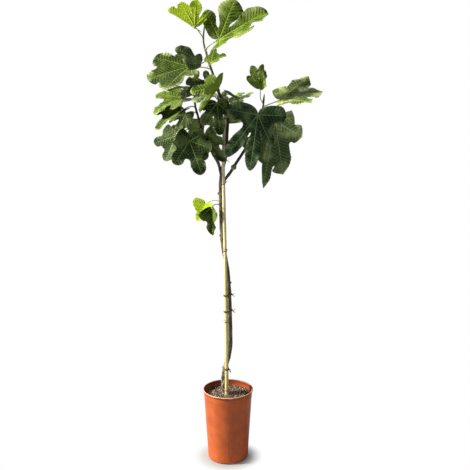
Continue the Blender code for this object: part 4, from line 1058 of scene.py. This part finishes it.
leaves = (
    leafOf("top_left", "sunlit", "trunk", 1.384, (-0.118, -0.034, 1.420), (-0.85, 0.02, 0.53),
           (0.05, 0.98, -0.10), 0.114, (98, 4), 6, -8, sinuses=(0.40, 0.40, 0.78, 0.40, 0.30), point=0.85,
           lobes=((-104, 0.50, 0.155), (-49, 0.74, 0.15), (0, 1.00, 0.17), (29, 0.88, 0.15),
           (62, 0.86, 0.19), (106, 0.54, 0.10))),
    leafOf("top_right", "bright", "trunk", 1.340, (-0.030, -0.028, 1.377), (0.85, -0.05, 0.50),
           (-0.10, -0.97, 0.20), 0.200, (62, 6), -6, -14, sinuses=(0.34, 0.62, 0.27, 0.20), neck=0.42,
           peak=0.74, lobes=((-96, 0.40, 0.13), (-44, 0.78, 0.18), (0, 1.0, 0.215), (38, 0.76, 0.235),
           (86, 0.58, 0.13))),
    leafOf("dark_upper", "grey", "trunk", 1.300, (-0.096, -0.016, 1.292), (-0.78, -0.30, 0.55),
           (-0.25, -0.72, 0.62), 0.108, (16, 22), -14, -22, sinuses=(0.24, 0.60),
           lobes=((-40, 0.32, 0.11), (0, 1.0, 0.22), (46, 0.74, 0.22))),
    leafOf("broad_left", "green", "trunk", 1.272, (-0.140, 0.012, 1.280), (-0.90, -0.38, -0.22),
           (-0.16, -0.62, 0.78), 0.168, (6, 4), -10, -16, sinuses=(0.42, 0.68, 0.84, 0.34), neck=0.95,
           lobes=((-96, 0.52, 0.18), (-46, 0.84, 0.23), (0, 1.0, 0.22), (34, 1.0, 0.20),
           (76, 0.40, 0.13))),
    leafOf("curled_right", "bright", "trunk", 1.286, (-0.060, -0.034, 1.292), (0.74, -0.30, 0.55),
           (-0.50, -0.62, 0.60), 0.064, (30, 34), -24, -30, palm=0.62),
    leafOf("behind_leader", "grey", "trunk", 1.205, (-0.062, 0.052, 1.205), (-0.30, 0.62, 0.66),
           (-0.30, 0.55, -0.40), 0.080, (14, 16), -8, -14),
    leafOf("young_left", "sunlit", "left", 1.188, (-0.124, 0.034, 1.218), (0.34, 0.04, 0.93),
           (-0.30, -0.90, -0.10), 0.050, (35, 35), 8, 10, lobes=threeLobes),
    leafOf("pale_left", "bright", "left", 1.176, (-0.166, -0.004, 1.164), (-0.86, -0.44, -0.20),
           (-0.22, -0.50, 0.84), 0.128, (10, 16), -26, -30, palm=0.5),
    leafOf("netted", "grey", "trunk", 1.142, (-0.074, -0.044, 1.196), (-0.94, -0.26, -0.08),
           (-0.06, -0.62, 0.78), 0.108, (6, 10), -16, -20, palm=0.56, lobes=((-104, 0.50, 0.16),
           (-49, 0.84, 0.18), (0, 1.00, 0.20), (49, 0.84, 0.20), (100, 0.52, 0.19))),
    leafOf("folded_centre", "bright", "trunk", 1.226, (-0.030, -0.104, 1.208), (-0.56, -0.42, -0.72),
           (-0.72, -0.35, 0.60), 0.122, (52, 46), -6, 6),
    leafOf("dark_centre", "dark", "trunk", 1.150, (-0.038, -0.052, 1.150), (0.10, -0.10, -0.98),
           (-0.12, -0.97, 0.14), 0.118, (10, 10), 6, -8, lobes=((-84, 0.50, 0.15), (-40, 0.82, 0.17),
           (0, 1.0, 0.17), (44, 0.62, 0.14), (92, 0.40, 0.13))),
    leafOf("left_low", "green", "left", 1.134, (-0.180, -0.034, 1.118), (-0.78, -0.45, -0.42),
           (-0.26, -0.50, 0.82), 0.112, (20, 24), -22, -26, palm=0.5),
    leafOf("left_dark", "dark", "left", 1.110, (-0.158, 0.026, 1.106), (-0.42, 0.06, -0.90),
           (-0.30, -0.90, 0.20), 0.080, (16, 12), 4, -6),
    leafOf("left_hanging", "dark", "left", 1.086, (-0.139, -0.062, 1.012), (0.34, -0.12, -0.92),
           (0.00, -0.97, 0.16), 0.132, (10, 8), 4, -10, sinuses=(0.34, 0.46, 0.50, 0.40),
           lobes=((-152, 0.40, 0.14), (-54, 0.78, 0.18), (0, 1.0, 0.19), (52, 0.66, 0.16),
           (100, 0.48, 0.15))),
    leafOf("left_outer", "grey", "left", 1.052, (-0.192, -0.012, 1.028), (-0.38, -0.14, -0.91),
           (-0.40, -0.88, 0.20), 0.104, (24, 14), 2, -8, palm=0.6),
    leafOf("under_branch", "dark", "left", 1.022, (-0.080, -0.050, 1.034), (0.60, 0.02, -0.80),
           (-0.42, -0.86, -0.28), 0.122, (28, 12), 4, -6, palm=0.5, lobes=((-88, 0.48, 0.14),
           (-43, 0.80, 0.15), (0, 1.0, 0.16), (43, 0.70, 0.14), (90, 0.44, 0.13))),
    leafOf("great_hanging", "blue", "right", 1.118, (0.111, -0.078, 1.108), (-0.14, -0.06, -0.98),
           (0.00, -0.98, 0.18), 0.205, (4, 4), 2, -8, palm=0.28, neck=0.62, lobes=((-92, 0.56, 0.155),
           (-30, 0.95, 0.115), (0, 1.0, 0.125), (32, 0.60, 0.10), (96, 0.50, 0.155))),
    leafOf("right_hanging", "grey", "right", 1.100, (0.178, -0.006, 1.080), (0.08, -0.04, -0.99),
           (0.06, -0.98, 0.12), 0.200, (4, 10), 2, -8, sinuses=(0.30, 0.84, 0.44, 0.32), neck=0.95,
           point=1.2, lobes=((-64, 0.36, 0.09), (-15, 1.27, 0.095), (4, 1.0, 0.18), (56, 0.58, 0.16),
           (98, 0.36, 0.12))),
    leafOf("right_upright", "bright", "right", 1.148, (0.120, -0.014, 1.200), (0.14, -0.10, 0.98),
           (-0.52, -0.83, -0.04), 0.090, (40, 18), 6, 8, sinuses=(0.34, 0.40, 0.36, 0.36),
           lobes=((-60, 0.66, 0.13), (-30, 0.94, 0.16), (0, 1.0, 0.19), (28, 1.0, 0.18),
           (56, 0.74, 0.14))),
    leafOf("far_right", "pale", "right", 1.135, (0.198, -0.020, 1.162), (0.95, -0.20, 0.24),
           (-0.18, -0.42, 0.88), 0.158, (8, 10), -8, -12, sinuses=(0.34, 0.62, 0.42, 0.40), point=1.25,
           peak=0.42, lobes=((-84, 0.40, 0.14), (-38, 0.92, 0.19), (0, 1.0, 0.21), (46, 0.96, 0.25),
           (96, 0.50, 0.16))),
    leafOf("back_pale", "pale", "trunk", 1.060, (0.012, 0.098, 1.138), (0.30, 0.75, 0.50),
           (-0.25, -0.30, 0.86), 0.120, (10, 10), -16, -18),
    leafOf("back_striped", "green", "right", 0.990, (0.064, 0.064, 1.080), (0.22, 0.78, 0.34),
           (-0.10, -0.30, 0.92), 0.140, (8, 8), -22, -20),
    leafOf("behind_right", "dark", "right", 1.060, (0.142, 0.048, 1.034), (-0.05, 0.30, -0.94),
           (0.10, 0.92, 0.30), 0.130, (12, 10), 4, -10),
    leafOf("grey_right", "grey", "trunk", 1.165, (0.004, 0.020, 1.180), (0.70, 0.12, -0.40),
           (0.30, 0.05, 0.90), 0.072, (12, 14), -14, -20),
    leafOf("back_left", "green", "left", 1.030, (-0.092, 0.090, 1.076), (-0.35, 0.82, -0.25),
           (-0.20, 0.30, 0.92), 0.165, (8, 8), -24, -26),
    leafOf("back_high", "green", "left", 1.160, (-0.128, 0.108, 1.204), (-0.40, 0.88, -0.05),
           (-0.05, -0.05, 0.98), 0.142, (8, 8), -24, -24),
    leafOf("stem_pale", "sunlit", "trunk", 0.776, (-0.084, 0.012, 0.768), (-0.45, -0.24, -0.86),
           (-0.40, -0.66, 0.52), 0.076, (34, 12), -10, -16, palm=0.5, point=1.2, peak=0.3,
           lobes=threeLobes),
    leafOf("stem_dark", "green", "trunk", 0.762, (-0.060, -0.042, 0.762), (0.05, -0.12, -0.98),
           (-0.62, -0.75, 0.10), 0.106, (66, 30), 4, -6, palm=0.5, point=1.2, peak=0.3,
           lobes=((-52, 0.60, 0.15), (0, 1.0, 0.19), (52, 0.60, 0.15))),
)


# Half-width of a lobe's side at t along its axis: t tan(half sector) in the palm; past it a round
# sinus, a neck that swells to the greatest width at the peak, and an oval tip. A free side
# rounds out from the base.
def lobeHalfWidth(t, length, width, sector, palm, leaf):
    s = np.clip((t - palm) / (length - palm), 0.0, 1.0)
    tip = np.clip(1.0 - np.clip((s - 0.42) / 0.58, 0.0, 1.0) ** 2.2, 0.0, 1.0) ** leaf["point"]
    if sector is None:
        rounding = np.clip(t / palm, 0.0, 1.0)
        return width * np.sqrt(1.0 - (1.0 - rounding) ** 2) * tip
    spread = palm * math.tan(sector)
    neck = min(leaf["neck"] * width, spread)
    swell = np.sin(0.5 * math.pi * np.clip(s / leaf["peak"], 0.0, 1.0)) ** 2
    run = np.clip((t - palm) / (blade["sinusRun"] * leaf["size"]), 0.0, 1.0)
    sinus = (spread - neck) * (1.0 - np.sqrt(run)) ** 2
    body = neck + (width - neck) * swell + sinus
    return np.where(t <= palm + 1e-9, t * math.tan(sector), body * tip)


# Rise of the sheet over its smooth shape: cushions between the side veins, a groove along the
# main vein, margins that wave, and lobes whose sides turn down.
def bladeRelief(t, n, margin, past, size, wavePhase):
    away, unitSize = np.abs(n), mapSize(size)
    phase = (t - leafVeins["rise"] * away + leafVeins["sweep"] * n * n / unitSize) / (
        leafVeins["spacing"] * unitSize)
    cushion = np.abs(np.sin(math.pi * phase)) ** 0.7 - 0.5
    cushion = cushion * softStep(away, 0.004 * size, 0.05 * size) * (1.0 - margin ** 6)
    groove = -bell(n, blade["grooveWidth"] * size) * np.clip(1.1 - t / size, 0.0, 1.0)
    wave = margin ** 2 * np.sin(2.0 * math.pi * t / (blade["waveLength"] * size) + wavePhase) * past
    return (unitSize * blade["quilt"] * cushion + size * (
        blade["groove"] * groove + blade["wave"] * wave - blade["cup"] * past * (n / size) ** 2))


# Veins stand a little wider apart on a larger leaf, but less than its size grows.
def mapSize(size):
    return blade["plainSize"] * (size / blade["plainSize"]) ** 0.35


# Half of the blade turns up by fold within the crease, so a distance from the midrib becomes a
# reach sideways and a rise.
def foldProfile(fold, size):
    u = np.linspace(0.0, 1.3 * size, 200)
    turn = math.radians(fold) * np.clip(u / (blade["crease"] * size), 0.0, 1.0)
    half = 0.5 * (u[1] - u[0])
    sums = (np.concatenate([[0.0], np.cumsum(half * (way[1:] + way[:-1]))])
            for way in (np.cos(turn), np.sin(turn)))
    return u, turn, *sums


# Each lobe bends in an arc past the palm, each half folds up about the midrib, and the midrib
# bends in an arc along its length.
def shapeBlade(t, n, relief, leaf, lobeAngle, palm):
    size = leaf["size"]
    axis = np.array([math.cos(lobeAngle), math.sin(lobeAngle)])
    rate = math.radians(leaf["droop"]) / size + 1e-4
    past = np.maximum(t - palm, 0.0)
    t = t - past + np.sin(rate * past) / rate
    lift = (1.0 - np.cos(rate * past)) / rate + relief
    x = t * axis[0] - n * axis[1]
    y = t * axis[1] + n * axis[0]
    z, folded = np.zeros_like(x), y.copy()
    for half, sign in ((0, -1.0), (1, 1.0)):
        u, turn, reach, rise = foldProfile(leaf["fold"][half], size)
        here = y < 0.0 if sign < 0.0 else y >= 0.0
        away = np.abs(y)
        angle = np.interp(away, u, turn)
        folded = np.where(here, sign * (np.interp(away, u, reach) - lift * np.sin(angle)), folded)
        z = np.where(here, np.interp(away, u, rise) + lift * np.cos(angle), z)
    rate = math.radians(leaf["bend"]) / size + 1e-4
    local = np.stack([np.sin(rate * x) / rate - z * np.sin(rate * x), folded,
                      (1.0 - np.cos(rate * x)) / rate + z * np.cos(rate * x)], axis=-1)
    base, along, side, facing = leafFrame(leaf)
    return base + local @ np.stack([along, side, facing]) + (0.0, 0.0, soilTop)


def leafFrame(leaf):
    along = unit(leaf["along"])
    facing = np.asarray(leaf["facing"], float)
    facing = unit(facing - along * (facing @ along))
    return np.asarray(leaf["base"], float), along, np.cross(facing, along), facing


def lobeSectors(lobes):
    between = list(0.5 * np.diff(np.radians([lobe[0] for lobe in lobes])))
    return [None] + between, between + [None]


# How far from the base each lobe is joined to its neighbours, on its right and on its left: the
# wanted share of the size, short of both lobes' tips, in whole rows.
def palmsOf(leaf):
    size, lobes = leaf["size"], leaf["lobes"]
    wanted = leaf.get("sinuses", [leaf["palm"]] * (len(lobes) - 1))
    rows = [int(blade["fineRows"] * min(share, 0.9 * first[1], 0.9 * second[1]))
            for share, first, second in zip(wanted, lobes[:-1], lobes[1:])]
    depths = [size * row / blade["fineRows"] for row in rows]
    return [depths[0]] + depths, depths + [depths[-1]]


# The whole sheet: one grid for each lobe, rows along it and columns across it, sharing the rays
# between the lobes inside the palm.
def bladeSheet(leaf, number):
    size, lobes = leaf["size"], leaf["lobes"]
    right, left = lobeSectors(lobes)
    rightPalms, leftPalms = palmsOf(leaf)
    across = np.linspace(-1.0, 1.0, blade["columns"] + 1)
    across = (np.sign(across) * np.abs(across) ** 1.15)[None, :]
    s = np.linspace(0.0, 1.0, blade["lobeRows"] + 1)
    s = 0.6 * s + 0.4 * 0.5 * (1.0 - np.cos(math.pi * s))
    shapes, maps, margins, shares = [], [], [], []
    for k, (angle, share, half) in enumerate(lobes):
        length, width = share * size, half * size * blade["wide"]
        palm = max(rightPalms[k], leftPalms[k])
        palmRows = np.arange(round(palm * blade["fineRows"] / size))
        t = np.concatenate([palmRows * size / blade["fineRows"], palm + (length - palm) * s])
        edges, opened = [], []
        for sector, start, turn in ((right[k], rightPalms[k], 0.6 * k),
                                    (left[k], leftPalms[k], 1.9 + 0.8 * k)):
            edge = lobeHalfWidth(t, length, width, sector, start, leaf)
            teeth = np.sin(2.0 * math.pi * t / (blade["teethApart"] * size) + turn + number)
            teeth = teeth + 0.5 * np.sin(2.0 * math.pi * t / (blade["wavesApart"] * size) + 2.0 * turn)
            past = np.clip((t - start) / (blade["pastRun"] * size), 0.0, 1.0)
            edges.append(edge * (1.0 + blade["crenation"] * past * teeth
                                 * np.clip(1.0 - t / length, 0.0, 1.0) ** 0.25))
            opened.append(1.0 + 0.0 * t if sector is None else
                          np.clip((t - start) / (blade["openRun"] * size), 0.0, 1.0))
        n = np.where(across < 0.0, *(edge[:, None] for edge in edges)) * across
        grid = np.broadcast_to(t[:, None], n.shape)
        margin = np.abs(across) * np.where(across < 0.0, *(side[:, None] for side in opened))
        margin = np.maximum(margin, softStep(grid / length, 0.86, 1.0))
        past = np.clip((t - palm) / (blade["pastRun"] * size), 0.0, 1.0)[:, None]
        relief = bladeRelief(grid, n, margin, past, size, 1.7 * k + 2.3 * number)
        points = shapeBlade(grid, n, relief, leaf, math.radians(angle), palm)
        shares.append((grid / length).ravel())
        shapes.append((points.reshape(-1, 3), gridFaces(*n.shape, flip=True), points.reshape(-1, 3)))
        maps.append(np.stack([grid, n], axis=-1).reshape(-1, 2) / mapSize(size))
        margins.append(margin.ravel())
    points, faces, _ = joined(shapes)
    return (points, faces, None), np.concatenate(maps), {
        "margin": np.concatenate(margins), "lobeShare": np.concatenate(shares)}


# A petiole's centre line: a cubic curve from the stem's side to a little way under the blade.
def petioleLine(leaf):
    base, along, _, facing = leafFrame(leaf)
    centre, stemRadius, outward, upward = stemSeat(leaf["stem"], leaf["seat"], base)
    lean = math.radians(petiole["lean"])
    start = centre + outward * (0.7 * stemRadius)
    under = base - 0.9 * petiole["radius"] * facing
    arrive = unit(unit(base - start) + 0.8 * along + 0.15 * facing)
    reach = np.linalg.norm(under - start) * 0.38
    near = start + reach * (outward * math.cos(lean) + upward * math.sin(lean))
    far = under - reach * arrive
    s = np.linspace(0.0, 1.0, petiole["rows"])[:, None]
    line = ((1 - s) ** 3 * start + 3 * s * (1 - s) ** 2 * near + 3 * s ** 2 * (1 - s) * far
            + s ** 3 * under)
    return line + (0.0, 0.0, soilTop)


# Stalk and ribs: the petiole, wide at its foot, and a tapering rib under each lobe's main vein.
def stalkShape(leaf):
    size, palms = leaf["size"], palmsOf(leaf)
    thick = petiole["radius"] * np.interp(size, (0.05, 0.12, 0.20), (0.62, 0.95, 1.15))
    line = petioleLine(leaf)
    total = runOf(line)[-1]
    stalk = lambda along, turn: thick * (1.0 + 0.75 * np.exp(-along / 0.006) + 0.06 * np.cos(3 * turn)
                                         + 0.25 * softStep(along, 0.85 * total, total))
    shapes = [tubeShape(line, stalk, petiole["sides"], (0.0, 0.4))]
    for palm, (angle, share, _) in zip(np.maximum(*palms), leaf["lobes"]):
        t = np.linspace(0.0, blade["ribReach"] * share * size, petiole["ribRows"])
        groove = size * blade["groove"] * -np.clip(1.1 - t / size, 0.0, 1.0)
        step = 0.004 * size
        here, aside, ahead = (shapeBlade(t + forward, 0.0 * t + sideways, groove, leaf,
                                         math.radians(angle), palm)
                              for forward, sideways in ((0.0, 0.0), (0.0, step), (step, 0.0)))
        normal = np.cross(ahead - here, aside - here)
        normal /= np.linalg.norm(normal, axis=1)[:, None]
        wide = thick * np.interp(t / (share * size), (0.0, 0.3, blade["ribReach"]), (0.80, 0.42, 0.14))
        wide = wide * (1.0 if angle == 0 else 0.85)
        run = runOf(here)
        rib = lambda along, turn, run=run, wide=wide: np.interp(along, run, wide) + 0.0 * turn
        shapes.append(tubeShape(here - normal * (0.55 * wide + 0.0002)[:, None], rib,
                                petiole["ribSides"], (0.6, 0.6)))
    return joined(shapes)


# Upper face: darker between the veins, lighter beside them and in patches, a painted sheen (a
# painted highlight), a painted glare (a painted highlight) towards the margin, and the veins on
# top. Under face: paler, with its veins standing out.
def makeBladeMaterial(name, tone, upper):
    material, tree, shader = newMaterial(name, 0.5, 0.15)
    place = objectPlace(tree)
    flatMap = put(tree, "UVMap", uv_map="leafMap").outputs["UV"]
    margin, share = (put(tree, "Attribute", attribute_name=key).outputs["Fac"]
                     for key in ("margin", "lobeShare"))
    veins = useGroup(tree, veinGroup, {"Map": flatMap, "Lobe Share": share,
                                       "Main Width": 0.016 if upper else 0.020})
    broad = patches(tree, place, 22.0, 0.36, 0.66)
    small = patches(tree, place, 150.0, 0.34, 0.70)
    if upper:
        between = stepMask(tree, veins["Field"], 0.06, 0.34)
        beside = times(tree, calc(tree, "SUBTRACT", 1.0, between), 0.38)
        # Painted sheen: a pale painted highlight in patches, strongest between the veins, its share set by
        # the tone.
        sheen = times(tree, stepMask(tree, broad["Raw"], 0.46, 0.66), tone["sheen"])
        # Painted glare: a pale painted highlight towards the margin, scaled by the tone's rim share.
        paintedGlare = times(tree, stepMask(tree, margin, 0.35, 0.95), stepMask(tree, broad["Raw"], 0.42, 0.58))
        colour = layered(
            tree, tone["deep"], (timesPlus(tree, broad["Mask"], 0.62, beside), 1.0, tone["fresh"]),
            (small["Mask"], 0.20, tone["deep"]),
            (sheen, timesPlus(tree, between, 0.75, 0.25), (0.60, 0.66, 0.28)),
            (paintedGlare, timesPlus(tree, between, 1.3 * tone["rim"], 0.3 * tone["rim"]), (0.78, 0.82, 0.52)),
            (veins["Net"], tone["net"], tone["vein"]), (veins["Side"], tone["side"], tone["vein"]),
            (veins["Main"], 1.0, tone["vein"]))
    else:
        under = np.array(tone["under"])
        lines = calc(tree, "MAXIMUM", veins["Main"], times(tree, veins["Side"], 0.8))
        colour = layered(tree, 0.75 * under, (broad["Mask"], 1.0, under), (veins["Net"], 0.35, 0.6 * under),
                         (lines, 1.0, np.minimum(0.8, 1.35 * under + 0.04)))
    colour = layered(tree, colour, (stepMask(tree, margin, 0.955, 0.995), tone["rim"], (0.62, 0.66, 0.28)))
    rough = stepMask(tree, small["Raw"], 0.25, 0.75, *((0.54, 0.70) if upper else (0.64, 0.80)))
    relief = times(tree, veins["Relief"], 1.0 if upper else -1.0)
    dress(tree, shader, colour, rough, relief, 0.0010, 0.8)
    through = put(tree, "BsdfTranslucent", {"Color": (*tone["through"], 1.0)})
    mix = put(tree, "MixShader", {0: tone["glow"], 1: shader.outputs[0], 2: through.outputs[0]})
    tree.links.new(mix.outputs[0], tree.nodes["Material Output"].inputs["Surface"])
    return material


def makeLeaves():
    faces = {key: [makeBladeMaterial(key + side, tone, side == "Upper") for side in ("Upper", "Under")]
             for key, tone in tones.items()}
    paleStalk = makeSkinMaterial("paleStalk", (0.20, 0.27, 0.06), (0.36, 0.42, 0.12),
                                 (0.50, 0.54, 0.24), 0.45)
    greenStalk = makeSkinMaterial("greenStalk", (0.09, 0.13, 0.035), (0.19, 0.25, 0.07),
                                  (0.34, 0.38, 0.16), 0.45)
    for number, leaf in enumerate(leaves):
        node = "leaf_" + leaf["name"]
        sheet, flatMap, values = bladeSheet(leaf, number)
        piece = makePiece(pieceName("blade_" + leaf["name"]), node, sheet,
                          faces[leaf["tone"]], leafMap=flatMap, values=values)
        skin = piece.modifiers.new("thickness", "SOLIDIFY")
        skin.thickness = blade["thickness"]
        skin.offset = 0.0
        skin.material_offset = 1
        light = leaf["tone"] in ("sunlit", "bright", "pale")
        makePiece(pieceName("stalk_" + leaf["name"]), node, stalkShape(leaf),
                  [paleStalk if light else greenStalk])


makeLeaves()
print("leaves made:", len(leaves))
